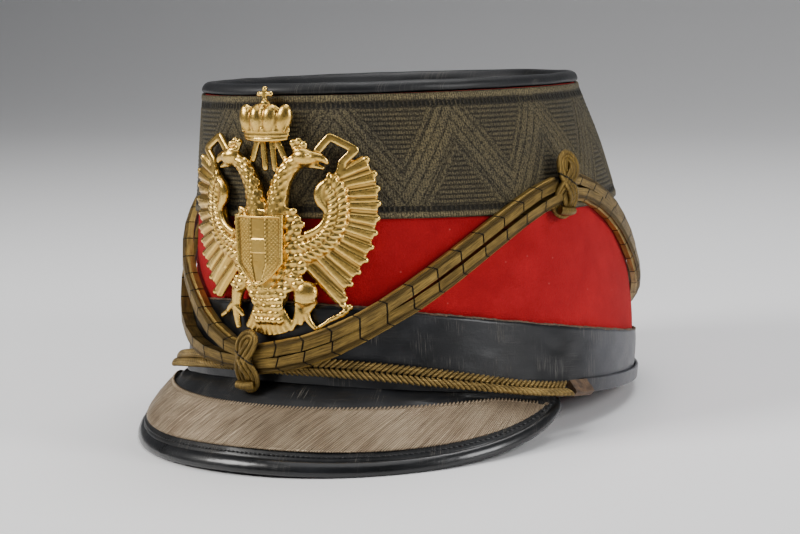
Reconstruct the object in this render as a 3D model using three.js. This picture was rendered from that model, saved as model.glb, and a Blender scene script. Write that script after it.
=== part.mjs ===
// A military shako with a forward peak: cloth wall, sunken patent leather top, gold lace band,
// leather sweat-side band, peak with lace and binding, festoon cords, chin cord and a front plate.
// Millimetres, +Z up, the wearer faces -Y.  The hat rests on the peak's edge and the rear rim.
import * as THREE from "three";
import { mergeVertices } from "three/addons/utils/BufferGeometryUtils.js";
import { TessellateModifier } from "three/addons/modifiers/TessellateModifier.js";

// Driving dimensions.
const FRONT_REACH = 103; // from the hat's middle to the front of the wall's foot
const FRONT_LEAN = 6.5; // how much further forward the front of the wall is at its top
const FRONT_HEIGHT = 103.2;
const REAR_HEIGHT = 119;
const SIDE_DIP = 3.7; // the foot hangs lower at the ears
const REST_TILT = 7.55; // degrees that the peak holds the front up
const STEPS_ROUND = 40;
const GAP = 0.3; // between pieces that touch

// The wall's oval at shares of its height: reach to the rear, and half width.
const WALL_OVALS = [
  { share: 0, rear: 94.4, half: 84.1 },
  { share: 0.1, rear: 99.2, half: 83.3 },
  { share: 0.25, rear: 101.3, half: 81.8 },
  { share: 0.4, rear: 98.1, half: 79.9 },
  { share: 0.55, rear: 92.6, half: 77.5 },
  { share: 0.7, rear: 84.6, half: 74.5 },
  { share: 0.85, rear: 74, half: 70.9 },
  { share: 1, rear: 60.6, half: 66.6 },
];

// Distances out from that oval.
const CLOTH_FACE = -0.6;
const WALL_THICK = 2.5;
const LACE_FACE = 0.5;
const BAND_FACE = 0.9;
const STRIP_FACE = 2.6;

const LACE_DEPTH = 43.3;
const BAND_FRONT_HEIGHT = 30;
const BAND_REAR_HEIGHT = 15;
const BAND_FOOT = 0.004; // share of the height that the band stays above the foot
const STRIP_START = 79; // degrees round from the front
const STRIP_FOOT = 0.9;
const STRIP_HEIGHT = 5;

const TOP_RIM_RISE = 4.2;
const TOP_RECESS = 5; // recess floor below the wall's upper edge
const TOP_THICK = 2.2;
const SKIRT_FOLLOW = 0.8; // how closely the skirt follows the wall, which widens below it

const PEAK_HALF_ANGLE = 73.3;
const PEAK_REACH = 25.3;
const PEAK_DROP = 29.4;
const PEAK_START = 1.3; // height of its upper face at the wall
const PEAK_THICK = 2.2;
const PEAK_SPREAD = 0.52; // how far it turns outwards at the sides
const PEAK_ROOT_GAP = 1.7;
const PEAK_END = 0.95; // share of the half angle where its leather ends
const BINDING_WIDTH = 6;
const BINDING_THICK = 3.6;

const CORD_WIDTH = 5.6;
const CORD_THICK = 4.6;
const CHIN_WIDTH = 7.2;
const SIDE_KNOT_ANGLE = 78.9;
const FRONT_KNOT_ANGLE = -3.7;

const PLATE_RADIUS = 64; // the plate is bowed round the front
const PLATE_STANDOFF = 1.4;
const PLATE_THICK = 1.4;
const PLATE_MIDDLE = 1;

const FINISH = {
  cloth: { color: 0xb0181c, roughness: 0.95, metalness: 0 },
  patent: { color: 0x0c0c10, roughness: 0.2, metalness: 0 },
  leather: { color: 0x17171b, roughness: 0.5, metalness: 0 },
  tanLeather: { color: 0x9a6b45, roughness: 0.7, metalness: 0 },
  lace: { color: 0x6b6550, roughness: 0.6, metalness: 0.4 },
  bullion: { color: 0x8d7456, roughness: 0.6, metalness: 0.3 },
  cord: { color: 0x8a7434, roughness: 0.5, metalness: 0.4 },
  gilt: { color: 0xc89b3c, roughness: 0.3, metalness: 1 },
};

const TURN = 2 * Math.PI;
const radians = THREE.MathUtils.degToRad;

// Reads a table's column at a value of its first column, in straight steps.
function tableValue(rows, key, column, at) {
  const last = rows.length - 2;
  const next = rows.findIndex((row) => row[key] > at);
  const i = next < 0 ? last : Math.max(0, Math.min(last, next - 1));
  const from = rows[i];
  const to = rows[i + 1];
  const part = (at - from[key]) / (to[key] - from[key]);
  return from[column] + (to[column] - from[column]) * part;
}

function ovalAt(share) {
  const rear = tableValue(WALL_OVALS, "share", "rear", share);
  const front = FRONT_REACH + FRONT_LEAN * share;
  return {
    half: tableValue(WALL_OVALS, "share", "half", share),
    length: (rear + front) / 2,
    middle: (rear - front) / 2,
  };
}

function wallHeight(angle) {
  return FRONT_HEIGHT + ((REAR_HEIGHT - FRONT_HEIGHT) * (1 - Math.cos(angle))) / 2;
}

function outwards(angle, oval) {
  return new THREE.Vector3(oval.length * Math.sin(angle), -oval.half * Math.cos(angle), 0).normalize();
}

// A point of the wall: angle round from the front, share of its height, distance outside it.
function wallPoint(angle, share, out) {
  const oval = ovalAt(share);
  const foot = -SIDE_DIP * (1 - share) * Math.sin(angle) ** 2;
  return new THREE.Vector3(
    oval.half * Math.sin(angle),
    oval.middle - oval.length * Math.cos(angle),
    share * wallHeight(angle) + foot,
  ).addScaledVector(outwards(angle, oval), out);
}

// The wall's upper edge lies in a plane, and this is that plane's height at a place along Y.
function topPlane(y) {
  const oval = ovalAt(1);
  const part = 1 - (oval.middle - y) / oval.length;
  return FRONT_HEIGHT + ((REAR_HEIGHT - FRONT_HEIGHT) * part) / 2;
}

// Joins a row of sections into one closed body. Each section is a list of points; rings close
// on themselves, and open runs get end faces built as a ladder between a section's two sides.
function loft(sections, { ring = false, openSection = false } = {}) {
  const count = sections[0].length;
  const points = sections.flat();
  const faces = [];
  const runs = ring ? sections.length : sections.length - 1;
  const around = openSection ? count - 1 : count;
  for (let i = 0; i < runs; i++) {
    const here = i * count;
    const there = ((i + 1) % sections.length) * count;
    for (let j = 0; j < around; j++) {
      const k = (j + 1) % count;
      faces.push([here + j, there + k, here + k], [here + j, there + j, there + k]);
    }
  }
  if (!ring) {
    const end = (sections.length - 1) * count;
    for (let j = 0; j < count / 2 - 1; j++) {
      const a = j;
      const b = j + 1;
      const c = count - 2 - j;
      const d = count - 1 - j;
      faces.push([a, b, c], [a, c, d], [end + a, end + c, end + b], [end + a, end + d, end + c]);
    }
  }
  const flat = faces
    .filter(([a, b, c]) => differ(points[a], points[b]) && differ(points[b], points[c]) && differ(points[a], points[c]))
    .flatMap((face) => face.flatMap((corner) => points[corner].toArray()));
  const geometry = new THREE.BufferGeometry();
  geometry.setAttribute("position", new THREE.Float32BufferAttribute(flat, 3));
  return mergeVertices(geometry, 1e-4);
}

function differ(a, b) {
  return a.distanceToSquared(b) > 1e-8;
}

const hat = new THREE.Group();

function add(name, geometry, finish) {
  const mesh = new THREE.Mesh(geometry, new THREE.MeshStandardMaterial(finish));
  mesh.name = name;
  hat.add(mesh);
  return mesh;
}

function anglesBetween(from, to, steps) {
  return Array.from({ length: steps + 1 }, (_, i) => from + ((to - from) * i) / steps);
}

const ALL_ROUND = anglesBetween(0, TURN, STEPS_ROUND).slice(0, STEPS_ROUND);

// A sheet that follows the wall from one height to another, bending at the knees between them.
function wallSheet(angles, low, high, inner, outer, knees, ring) {
  const sections = angles.map((angle) => {
    const shares = [low(angle), ...knees, high(angle)];
    const outside = shares.map((share) => wallPoint(angle, share, outer));
    const inside = shares.map((share) => wallPoint(angle, share, inner));
    return [...outside, ...inside.reverse()];
  });
  return loft(sections, { ring });
}

function laceFoot(angle) {
  const lean = Math.cos(angle) > 0 ? FRONT_LEAN : WALL_OVALS[0].rear - WALL_OVALS.at(-1).rear;
  return 1 - LACE_DEPTH / Math.hypot(wallHeight(angle), lean * Math.cos(angle));
}

function bandTop(angle) {
  const rise = (BAND_FRONT_HEIGHT - BAND_REAR_HEIGHT) * ((1 - Math.cos(angle)) / 2);
  return (BAND_FRONT_HEIGHT - rise) / wallHeight(angle);
}

function makeWall() {
  const shares = WALL_OVALS.map((oval) => oval.share);
  const sections = ALL_ROUND.map((angle) => {
    const outside = shares.map((share) => wallPoint(angle, share, CLOTH_FACE));
    const inside = shares.map((share) => wallPoint(angle, share, CLOTH_FACE - WALL_THICK));
    return [...outside, ...inside.reverse()];
  });
  add("body_wall", loft(sections, { ring: true }), FINISH.cloth);
}

function makeBands() {
  const laceTop = 1 - 0.4 / FRONT_HEIGHT;
  const lace = wallSheet(ALL_ROUND, laceFoot, () => laceTop, CLOTH_FACE + GAP, LACE_FACE, [0.7, 0.85], true);
  add("gold_lace", lace, FINISH.lace);
  const band = wallSheet(ALL_ROUND, () => BAND_FOOT, bandTop, CLOTH_FACE + GAP, BAND_FACE, [0.1], true);
  add("leather_band", band, FINISH.leather);
  const rear = anglesBetween(radians(STRIP_START), TURN - radians(STRIP_START), 24);
  const foot = (angle) => STRIP_FOOT / wallHeight(angle);
  const top = (angle) => (STRIP_FOOT + STRIP_HEIGHT) / wallHeight(angle);
  add("base_strip", wallSheet(rear, foot, top, BAND_FACE + GAP, STRIP_FACE, [], false), FINISH.leather);
}

// The top is one pressed piece: a rolled rim that sits on the wall, a skirt inside it and a
// sunken floor.  Profile columns: distance out from the wall's oval, height over its edge.
function makeTop() {
  const skirt = CLOTH_FACE - WALL_THICK - GAP;
  const rim = [
    { out: skirt, rise: -TOP_RECESS - TOP_THICK },
    { out: skirt, rise: GAP },
    { out: LACE_FACE - 0.2, rise: GAP },
    { out: LACE_FACE + 0.4, rise: TOP_RIM_RISE * 0.45 },
    { out: LACE_FACE - 0.6, rise: TOP_RIM_RISE * 0.88 },
    { out: -2, rise: TOP_RIM_RISE },
    { out: -4.2, rise: TOP_RIM_RISE * 0.85 },
    { out: -5.4, rise: TOP_RIM_RISE * 0.3 },
    { out: -8.8, rise: -TOP_RECESS },
  ];
  const middle = ovalAt(1).middle;
  const under = new THREE.Vector3(0, middle, topPlane(middle) - TOP_RECESS - TOP_THICK);
  const floor = new THREE.Vector3(0, middle, topPlane(middle) - TOP_RECESS);
  const sections = ALL_ROUND.map((angle) => {
    const loop = rim.map(({ out, rise }) => {
      const point = wallPoint(angle, 1 + (SKIRT_FOLLOW * Math.min(0, rise)) / wallHeight(angle), out);
      point.z = topPlane(point.y) + rise;
      return point;
    });
    return [under.clone(), ...loop, floor.clone()];
  });
  add("top_crown", loft(sections, { ring: true, openSection: true }), FINISH.patent);
}

// How much of its full size the peak has at a place across it, -1 to 1.
function peakSwell(across) {
  return (1 - Math.abs(across) ** 2.68) ** 0.7;
}

// A point of the peak's upper face: place across it, and share of the way to its edge.
function peakFace(across, share) {
  const angle = across * radians(PEAK_HALF_ANGLE);
  const root = wallPoint(angle, 0, BAND_FACE + GAP);
  const way = new THREE.Vector3(PEAK_SPREAD * Math.sin(angle), -Math.cos(angle), 0).normalize();
  const swell = peakSwell(across);
  root.addScaledVector(way, PEAK_REACH * swell * share * (1.15 - 0.15 * share));
  root.z += PEAK_START - PEAK_DROP * swell * share * (0.65 + 0.35 * share);
  return root;
}

function peakNormal(across, share) {
  const d = 0.002;
  const side = peakFace(across + d, share).sub(peakFace(across - d, share));
  const down = peakFace(across, share + d).sub(peakFace(across, share - d));
  return down.cross(side).normalize();
}

function peakPoint(across, share, lift) {
  return peakFace(across, share).addScaledVector(peakNormal(across, share), lift);
}

// The share of the peak's slope that lies a given distance in from its edge.
function fromEdge(across, distance) {
  return 1 - distance / (Math.hypot(PEAK_REACH, PEAK_DROP) * peakSwell(across));
}

function peakSheet(places, near, far, under, over, rows) {
  const sections = places.map((across) => {
    const shares = anglesBetween(near(across), far(across), rows);
    const upper = shares.map((share) => peakPoint(across, share, over));
    const lower = shares.map((share) => peakPoint(across, share, under));
    return [...lower, ...upper.reverse()];
  });
  return loft(sections);
}

function makePeak() {
  const places = anglesBetween(-PEAK_END, PEAK_END, 32);
  const root = (across) => 1 - fromEdge(across, PEAK_ROOT_GAP);
  const edge = (across) => fromEdge(across, BINDING_WIDTH + 2 * GAP);
  add("peak", peakSheet(places, root, edge, -PEAK_THICK, 0, 4), FINISH.leather);
  const lacePlaces = anglesBetween(-0.88, 0.88, 28);
  const inner = (across) => 0.365 - 0.37 * across ** 2 + 6.5 * Math.max(0, Math.abs(across) - 0.7) ** 1.8;
  const outer = (across) => fromEdge(across, BINDING_WIDTH + 1.2);
  add("peak_lace", peakSheet(lacePlaces, inner, outer, GAP, 1.1, 2), FINISH.bullion);

  const bindingPlaces = anglesBetween(-0.965, 0.965, 36);
  const sections = bindingPlaces.map((across) => {
    const share = fromEdge(across, BINDING_WIDTH / 2);
    const middle = peakPoint(across, share, -PEAK_THICK / 2);
    const normal = peakNormal(across, share);
    const down = peakFace(across, share + 0.01).sub(peakFace(across, share)).normalize();
    return anglesBetween(0, TURN, 8)
      .slice(0, 8)
      .map((turn) =>
        middle
          .clone()
          .addScaledVector(down, (Math.cos(turn) * BINDING_WIDTH) / 2)
          .addScaledVector(normal, (Math.sin(turn) * BINDING_THICK) / 2),
      );
  });
  add("peak_binding", loft(sections), FINISH.patent);
}

// A cord laid on the wall: stations with angle, share of the height, distance out and roll.
// Its section is a flat-backed ridge: columns are across the cord, and out from the wall.
const CORD_SECTION = [
  { across: -0.3, out: -0.5 },
  { across: 0.3, out: -0.5 },
  { across: 0.5, out: -0.35 },
  { across: 0.5, out: 0.15 },
  { across: 0.2, out: 0.5 },
  { across: -0.2, out: 0.5 },
  { across: -0.5, out: 0.15 },
  { across: -0.5, out: -0.35 },
];

function cordSolid(route, from, to, steps, width, thick) {
  const angles = anglesBetween(from, to, steps);
  const value = (column, angle) => tableValue(route, "angle", column, angle);
  const place = (angle) => wallPoint(radians(angle), value("share", angle), value("out", angle));
  const sections = angles.map((angle) => {
    const along = place(angle + 1).sub(place(angle - 1)).normalize();
    const out = outwards(radians(angle), ovalAt(value("share", angle)));
    const across = new THREE.Vector3().crossVectors(along, out).normalize();
    out.crossVectors(across, along);
    const roll = radians(value("roll", angle));
    return CORD_SECTION.map((point) => {
      const u = point.across * width;
      const v = point.out * thick;
      return place(angle)
        .addScaledVector(across, u * Math.cos(roll) - v * Math.sin(roll))
        .addScaledVector(out, u * Math.sin(roll) + v * Math.cos(roll));
    });
  });
  return loft(sections);
}

// Angles in degrees round from the front, + towards the wearer's left.
const UPPER_RIGHT_SIDE = [
  { angle: -90, share: 0.72, out: 4, roll: 0 },
  { angle: -75, share: 0.69, out: 4, roll: 0 },
  { angle: -70, share: 0.67, out: 3.8, roll: 0 },
  { angle: -57, share: 0.577, out: 3.8, roll: 0 },
  { angle: -46, share: 0.477, out: 3.8, roll: 0 },
  { angle: -37, share: 0.382, out: 3.8, roll: 0 },
  { angle: -28, share: 0.298, out: 4.2, roll: 0 },
  { angle: -18, share: 0.2, out: 5.4, roll: 0 },
  { angle: -8, share: 0.131, out: 6.1, roll: 0 },
  { angle: 0, share: 0.115, out: 6.1, roll: 0 },
];

const LOWER_RIGHT_SIDE = [
  { angle: -90, share: 0.69, out: 4, roll: 0 },
  { angle: -75, share: 0.62, out: 4, roll: 0 },
  { angle: -70, share: 0.57, out: 3.8, roll: 0 },
  { angle: -60, share: 0.45, out: 3.8, roll: 0 },
  { angle: -50, share: 0.32, out: 3.8, roll: 0 },
  { angle: -40, share: 0.208, out: 3.8, roll: 0 },
  { angle: -30, share: 0.14, out: 4.6, roll: 0 },
  { angle: -20, share: 0.098, out: 6, roll: 0 },
  { angle: -8, share: 0.072, out: 6.1, roll: 0 },
  { angle: 0, share: 0.068, out: 6.1, roll: 0 },
];

const UPPER_LEFT_SIDE = [
  { angle: -4, share: 0.115, out: 6.1, roll: 0 },
  { angle: 0, share: 0.127, out: 6.1, roll: 0 },
  { angle: 9, share: 0.157, out: 6.1, roll: 0 },
  { angle: 18, share: 0.21, out: 5.6, roll: 0 },
  { angle: 27, share: 0.284, out: 4.4, roll: 0 },
  { angle: 37, share: 0.383, out: 3.8, roll: 0 },
  { angle: 46, share: 0.474, out: 3.8, roll: 0 },
  { angle: 57, share: 0.577, out: 3.8, roll: 0 },
  { angle: 70, share: 0.671, out: 3.8, roll: 0 },
  { angle: 75, share: 0.694, out: 4, roll: 0 },
  { angle: 90, share: 0.72, out: 4, roll: 0 },
];

const LOWER_LEFT_SIDE = [
  { angle: -4, share: 0.06, out: 6.1, roll: 0 },
  { angle: 0, share: 0.065, out: 6.1, roll: 0 },
  { angle: 9, share: 0.092, out: 6.1, roll: 0 },
  { angle: 18, share: 0.145, out: 5.6, roll: 0 },
  { angle: 27, share: 0.221, out: 4.4, roll: 0 },
  { angle: 37, share: 0.309, out: 3.8, roll: 0 },
  { angle: 46, share: 0.4, out: 3.8, roll: 0 },
  { angle: 57, share: 0.507, out: 3.8, roll: 0 },
  { angle: 70, share: 0.605, out: 3.8, roll: 0 },
  { angle: 75, share: 0.63, out: 4, roll: 0 },
  { angle: 90, share: 0.66, out: 4, roll: 0 },
];

const REAR_HALF = {
  upper: [
    { angle: 80, share: 0.715 },
    { angle: 86, share: 0.71 },
    { angle: 94, share: 0.678 },
    { angle: 102, share: 0.628 },
    { angle: 110, share: 0.553 },
    { angle: 120, share: 0.45 },
    { angle: 135, share: 0.335 },
    { angle: 150, share: 0.262 },
    { angle: 165, share: 0.222 },
    { angle: 180, share: 0.21 },
  ],
  lower: [
    { angle: 80, share: 0.655 },
    { angle: 86, share: 0.648 },
    { angle: 94, share: 0.612 },
    { angle: 102, share: 0.55 },
    { angle: 110, share: 0.463 },
    { angle: 120, share: 0.36 },
    { angle: 135, share: 0.255 },
    { angle: 150, share: 0.187 },
    { angle: 165, share: 0.15 },
    { angle: 180, share: 0.138 },
  ],
};

function wholeRear(half) {
  const rows = half.map((row) => ({ ...row, out: 3.9, roll: 0 }));
  const other = rows.slice(0, -1).reverse();
  return [...rows, ...other.map((row) => ({ ...row, angle: 360 - row.angle }))];
}

// The chin cord: in front it lies flat, and by its ends it rolls into the corner over the peak.
const CHIN_HALF = [
  { angle: 0, share: 0.074, out: 2.2, roll: 0 },
  { angle: 20, share: 0.074, out: 2.3, roll: 0 },
  { angle: 31, share: 0.068, out: 2.9, roll: 8 },
  { angle: 40, share: 0.06, out: 3.8, roll: 20 },
  { angle: 49, share: 0.05, out: 4.9, roll: 32 },
  { angle: 59, share: 0.036, out: 5.9, roll: 42 },
  { angle: 67, share: 0.03, out: 6.2, roll: 44 },
  { angle: 80, share: 0.03, out: 6.2, roll: 44 },
];

function makeCords() {
  const knotHalf = 5.2;
  const frontHalf = 3.6;
  const side = SIDE_KNOT_ANGLE - knotHalf;
  const rearStart = SIDE_KNOT_ANGLE + knotHalf;
  const left = FRONT_KNOT_ANGLE + frontHalf;
  const right = FRONT_KNOT_ANGLE - frontHalf;
  const runs = [
    { name: "festoon_upper_right", route: UPPER_RIGHT_SIDE, from: -side, to: right },
    { name: "festoon_lower_right", route: LOWER_RIGHT_SIDE, from: -side, to: right },
    { name: "festoon_upper_left", route: UPPER_LEFT_SIDE, from: left, to: side },
    { name: "festoon_lower_left", route: LOWER_LEFT_SIDE, from: left, to: side },
    { name: "festoon_upper_rear", route: wholeRear(REAR_HALF.upper), from: rearStart, to: 360 - rearStart },
    { name: "festoon_lower_rear", route: wholeRear(REAR_HALF.lower), from: rearStart, to: 360 - rearStart },
  ];
  for (const run of runs) {
    const steps = Math.round((run.to - run.from) / 6);
    add(run.name, cordSolid(run.route, run.from, run.to, steps, CORD_WIDTH, CORD_THICK), FINISH.cord);
  }
  const other = CHIN_HALF.slice(1).reverse();
  const mirrored = other.map((row) => ({ ...row, angle: -row.angle, roll: row.roll }));
  const chin = [...mirrored, ...CHIN_HALF];
  add("chin_cord", cordSolid(chin, -72, 72, 26, CHIN_WIDTH, 1.9), FINISH.cord);
  for (const [name, sign] of [["chin_cord_end_left", 1], ["chin_cord_end_right", -1]]) {
    const ends = sign > 0 ? [72.4, 77.6] : [-77.6, -72.4];
    add(name, cordSolid(chin, ends[0], ends[1], 2, 7.6, 3), FINISH.tanLeather);
  }
}

// A turk's-head knot's outer form, standing on the wall.
function makeKnot(name, angle, share, out, size) {
  const knot = new THREE.SphereGeometry(1, 12, 8);
  knot.scale(size.wide / 2, size.deep / 2, size.tall / 2);
  knot.rotateZ(radians(angle));
  const place = wallPoint(radians(angle), share, out);
  knot.deleteAttribute("normal");
  knot.deleteAttribute("uv");
  const mesh = add(name, mergeVertices(knot, 1e-4), FINISH.cord);
  mesh.position.copy(place);
}

function makeKnots() {
  makeKnot("front_knot", FRONT_KNOT_ANGLE, 0.086, 7.4, { wide: 9.4, deep: 7.6, tall: 17.6 });
  makeKnot("side_knot_left", SIDE_KNOT_ANGLE, 0.69, 5.4, { wide: 12, deep: 8.6, tall: 23 });
  makeKnot("side_knot_right", -SIDE_KNOT_ANGLE, 0.69, 5.4, { wide: 12, deep: 8.6, tall: 23 });
}

// Half of the plate's outline, from the foot of the tail up to the cross, in plate millimetres:
// across from its middle, and height.
const PLATE_HALF = [
  [8.4, 19.6], [6, 22.6], [5.2, 26.4], [6, 30.4], [8.2, 33], [10.6, 31], [10.2, 26.4], [8.9, 20.6],
  [10.6, 20.6], [12.8, 25.8], [15.4, 23.4], [16.8, 24.6], [15, 28], [18.2, 31.2], [18.4, 35], [16, 37.8],
  [13, 38.6], [14.6, 41.6], [27.2, 31.4], [29.6, 33], [30.4, 36.6], [34, 40.4], [36.2, 44.6], [38, 49.4],
  [39.3, 54.6], [40, 60], [40.2, 65.4], [39.8, 71], [38.6, 76], [36.8, 81], [32.6, 79.8], [30.2, 81.2],
  [33.8, 84], [32.6, 86.4], [24.2, 89.4], [22, 87.8], [19.4, 83.4], [15.6, 84.8], [14, 87.8], [9.6, 88.6],
  [10.6, 94], [8.6, 98.6], [3, 100], [1.2, 100.6], [1.2, 102.2], [2.6, 102.4], [2.6, 104.2], [1.1, 104.4],
  [0.8, 106],
];

// Windows in it: between the neck and the wing, and between the two necks.
const SIDE_WINDOW = [
  [10, 64.6], [9.2, 69.4], [11.4, 75.4], [15.6, 77.8], [20, 77.6], [22.6, 80.4], [23, 84.4], [25, 86.6],
  [30.2, 84.6], [27.2, 80.6], [26.4, 75.6], [20.4, 70.6], [20.4, 66.6], [23, 63], [21, 57.6], [16.4, 55.2],
];

const NECK_WINDOW = [[0, 69], [3.6, 75], [7, 80.2], [8.6, 84.2], [3, 85.6], [-3, 85.6], [-8.6, 84.2], [-7, 80.2], [-3.6, 75]];

function flatPoints(list, sign) {
  return list.map(([across, height]) => new THREE.Vector2(PLATE_MIDDLE + sign * across, height));
}

// Bows a flat piece round the front: its X goes round, its Y is height and its Z stands out.
function bowRoundFront(geometry) {
  const position = geometry.getAttribute("position");
  for (let i = 0; i < position.count; i++) {
    const turn = position.getX(i) / PLATE_RADIUS;
    const height = position.getY(i);
    const radius = PLATE_RADIUS + position.getZ(i);
    const front = FRONT_REACH + (FRONT_LEAN * height) / FRONT_HEIGHT + PLATE_STANDOFF;
    position.setXYZ(i, radius * Math.sin(turn), PLATE_RADIUS - front - radius * Math.cos(turn), height);
  }
  return geometry;
}

function bowedSlab(shape, from, depth, longest) {
  const slab = new THREE.ExtrudeGeometry(shape, { depth, bevelEnabled: false });
  slab.translate(0, 0, from);
  slab.deleteAttribute("normal");
  slab.deleteAttribute("uv");
  const fine = new TessellateModifier(longest, 12).modify(slab);
  return mergeVertices(bowRoundFront(fine), 1e-3);
}

function makePlate() {
  const right = flatPoints(PLATE_HALF, 1);
  const left = flatPoints(PLATE_HALF, -1).reverse();
  const plate = new THREE.Shape([...right, ...left]);
  plate.holes.push(new THREE.Path(flatPoints(SIDE_WINDOW, 1)));
  plate.holes.push(new THREE.Path(flatPoints(SIDE_WINDOW, -1)));
  plate.holes.push(new THREE.Path(flatPoints(NECK_WINDOW, 1)));
  add("eagle_plate", bowedSlab(plate, 0, PLATE_THICK, 9), FINISH.gilt);

  const shield = new THREE.Shape();
  shield.moveTo(-8.8, 60.8);
  shield.lineTo(-8.8, 43);
  shield.quadraticCurveTo(-5.2, 39.4, -1, 36);
  shield.quadraticCurveTo(4.4, 39, 8, 43);
  shield.lineTo(8.4, 60.8);
  shield.closePath();
  add("eagle_shield", bowedSlab(shield, PLATE_THICK + GAP, 1.6, 9), FINISH.gilt);

  // The crown's relief: a low dome over a band.  Columns: half width and height.
  const crownSide = [
    [8.6, 87], [9, 90], [10.4, 94], [9.2, 97.6], [5, 99.6],
  ].map(([half, height]) => new THREE.Vector2(half, height));
  add("eagle_crown", halfDome(crownSide), FINISH.gilt);
}

// A flat-backed dome from a side profile, bowed with the plate.
function halfDome(profile) {
  const flatness = 0.36;
  const steps = 10;
  const back = PLATE_THICK + GAP;
  const arc = anglesBetween(0, Math.PI, steps);
  const sections = profile.map((row) => {
    const point = (turn, proud) =>
      new THREE.Vector3(
        PLATE_MIDDLE + row.x * Math.cos(turn),
        row.y,
        back + row.x * flatness * proud * Math.sin(turn),
      );
    const front = arc.map((turn) => point(turn, 1));
    const rear = arc.slice(1, -1).map((turn) => point(turn, 0));
    return [...front, ...rear.reverse()];
  });
  return mergeVertices(bowRoundFront(loft(sections)), 1e-3);
}

makeWall();
makeBands();
makeTop();
makePeak();
makeCords();
makeKnots();
makePlate();

// Stand the hat on the floor and centre its box on the origin.
const stood = new THREE.Group();
hat.rotation.x = -radians(REST_TILT);
stood.add(hat);
stood.updateMatrixWorld(true);
const box = new THREE.Box3().setFromObject(stood, true);
const centre = box.getCenter(new THREE.Vector3());
hat.position.set(-centre.x, -centre.y, -box.min.z);

const part = new THREE.Group();
part.add(stood);

export default part;
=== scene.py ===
import math

import bpy
import numpy as np
from mathutils import Matrix, Vector


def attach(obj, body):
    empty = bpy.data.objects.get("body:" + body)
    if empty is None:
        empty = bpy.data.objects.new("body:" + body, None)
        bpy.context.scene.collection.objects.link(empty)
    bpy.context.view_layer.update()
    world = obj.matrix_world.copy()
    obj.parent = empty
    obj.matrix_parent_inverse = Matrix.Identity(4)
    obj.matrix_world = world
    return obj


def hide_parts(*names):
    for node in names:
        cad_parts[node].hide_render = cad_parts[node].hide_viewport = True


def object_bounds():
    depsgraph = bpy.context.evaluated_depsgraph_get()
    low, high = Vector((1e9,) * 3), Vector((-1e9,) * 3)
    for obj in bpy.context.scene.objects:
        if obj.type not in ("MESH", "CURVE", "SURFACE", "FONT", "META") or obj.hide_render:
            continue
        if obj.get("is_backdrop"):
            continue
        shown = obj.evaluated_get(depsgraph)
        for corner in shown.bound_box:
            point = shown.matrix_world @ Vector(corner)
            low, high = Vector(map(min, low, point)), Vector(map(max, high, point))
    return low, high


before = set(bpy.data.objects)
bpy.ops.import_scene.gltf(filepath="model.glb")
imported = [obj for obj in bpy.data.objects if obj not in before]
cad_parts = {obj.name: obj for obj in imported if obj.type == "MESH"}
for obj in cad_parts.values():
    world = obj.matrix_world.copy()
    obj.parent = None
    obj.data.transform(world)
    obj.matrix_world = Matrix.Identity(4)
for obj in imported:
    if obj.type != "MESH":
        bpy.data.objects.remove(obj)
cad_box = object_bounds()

# Sizes are in millimetres in the hat's own upright frame, and stand() takes them to the
# frame's metres, tilted as the hat rests on its peak and its rear rim.
MM = 0.001
TURN = 2 * math.pi
FRONT_REACH = 103.0
FRONT_LEAN = 6.5
FRONT_HEIGHT = 103.2
REAR_HEIGHT = 119.0
SIDE_DIP = 3.7
REST_TILT = math.radians(7.55)
WALL_THICK = 2.5
CLOTH_FACE = -0.6
LACE_FACE = 0.6
BAND_FACE = 0.9
LACE_DEPTH = 43.3
LACE_ZIGZAGS = 12
BAND_FRONT_HEIGHT = 30.0
BAND_REAR_HEIGHT = 15.0
PEAK_HALF_ANGLE = math.radians(73.3)
PEAK_REACH = 25.3
PEAK_DROP = 29.4
PEAK_START = 1.3
PEAK_SPREAD = 0.52
PEAK_THICK = 2.2
PEAK_SLOPE = math.hypot(PEAK_REACH, PEAK_DROP)
BINDING_WIDTH = 6.0
BINDING_THICK = 3.6
SIDE_KNOT = 78.9
FRONT_KNOT = -3.7
PLATE_RADIUS = 64.0
PLATE_STANDOFF = 1.4
PLATE_MIDDLE = 1.0
CLOTH_FOOT = 0.03
BAND_FOOT = 0.003
STRIP_FOOT = 0.9
STRIP_TOP = 5.9
STRIP_FACE = 2.5
STRIP_START = math.radians(79)
PEAK_LEATHER_TO_EDGE = 4.6
PEAK_LACE_TO_EDGE = 8.2
RIM_STITCHES_TO_EDGE = 6.6
BINDING_HALF = 0.968
CHIN_BRAID_END = 72.2
CHIN_CAPS = (72.0, 77.6)
CHIN_BRAID_PITCH = 2.0
EAGLE_VOXEL = 0.375
CROWN_VOXEL = 0.3

# The lowest points of the peak's binding and of the rear foot set how the hat's own frame stands.
HAT_LIFT = np.array([0.0, 10.994, 12.325])


def curve_through(rows):
    """A smooth function through (place, value) rows, sorted by place."""
    places = np.array([row[0] for row in rows], float)
    values = np.array([row[1] for row in rows], float)
    slopes = np.gradient(values, places)

    def at(where):
        where = np.clip(np.asarray(where, float), places[0], places[-1])
        i = np.clip(np.searchsorted(places, where) - 1, 0, len(places) - 2)
        span = places[i + 1] - places[i]
        t = (where - places[i]) / span
        start = (1 + 2 * t) * (1 - t) ** 2 * values[i] + t * (1 - t) ** 2 * span * slopes[i]
        end = t * t * (3 - 2 * t) * values[i + 1] + t * t * (t - 1) * span * slopes[i + 1]
        return start + end

    return at


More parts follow.
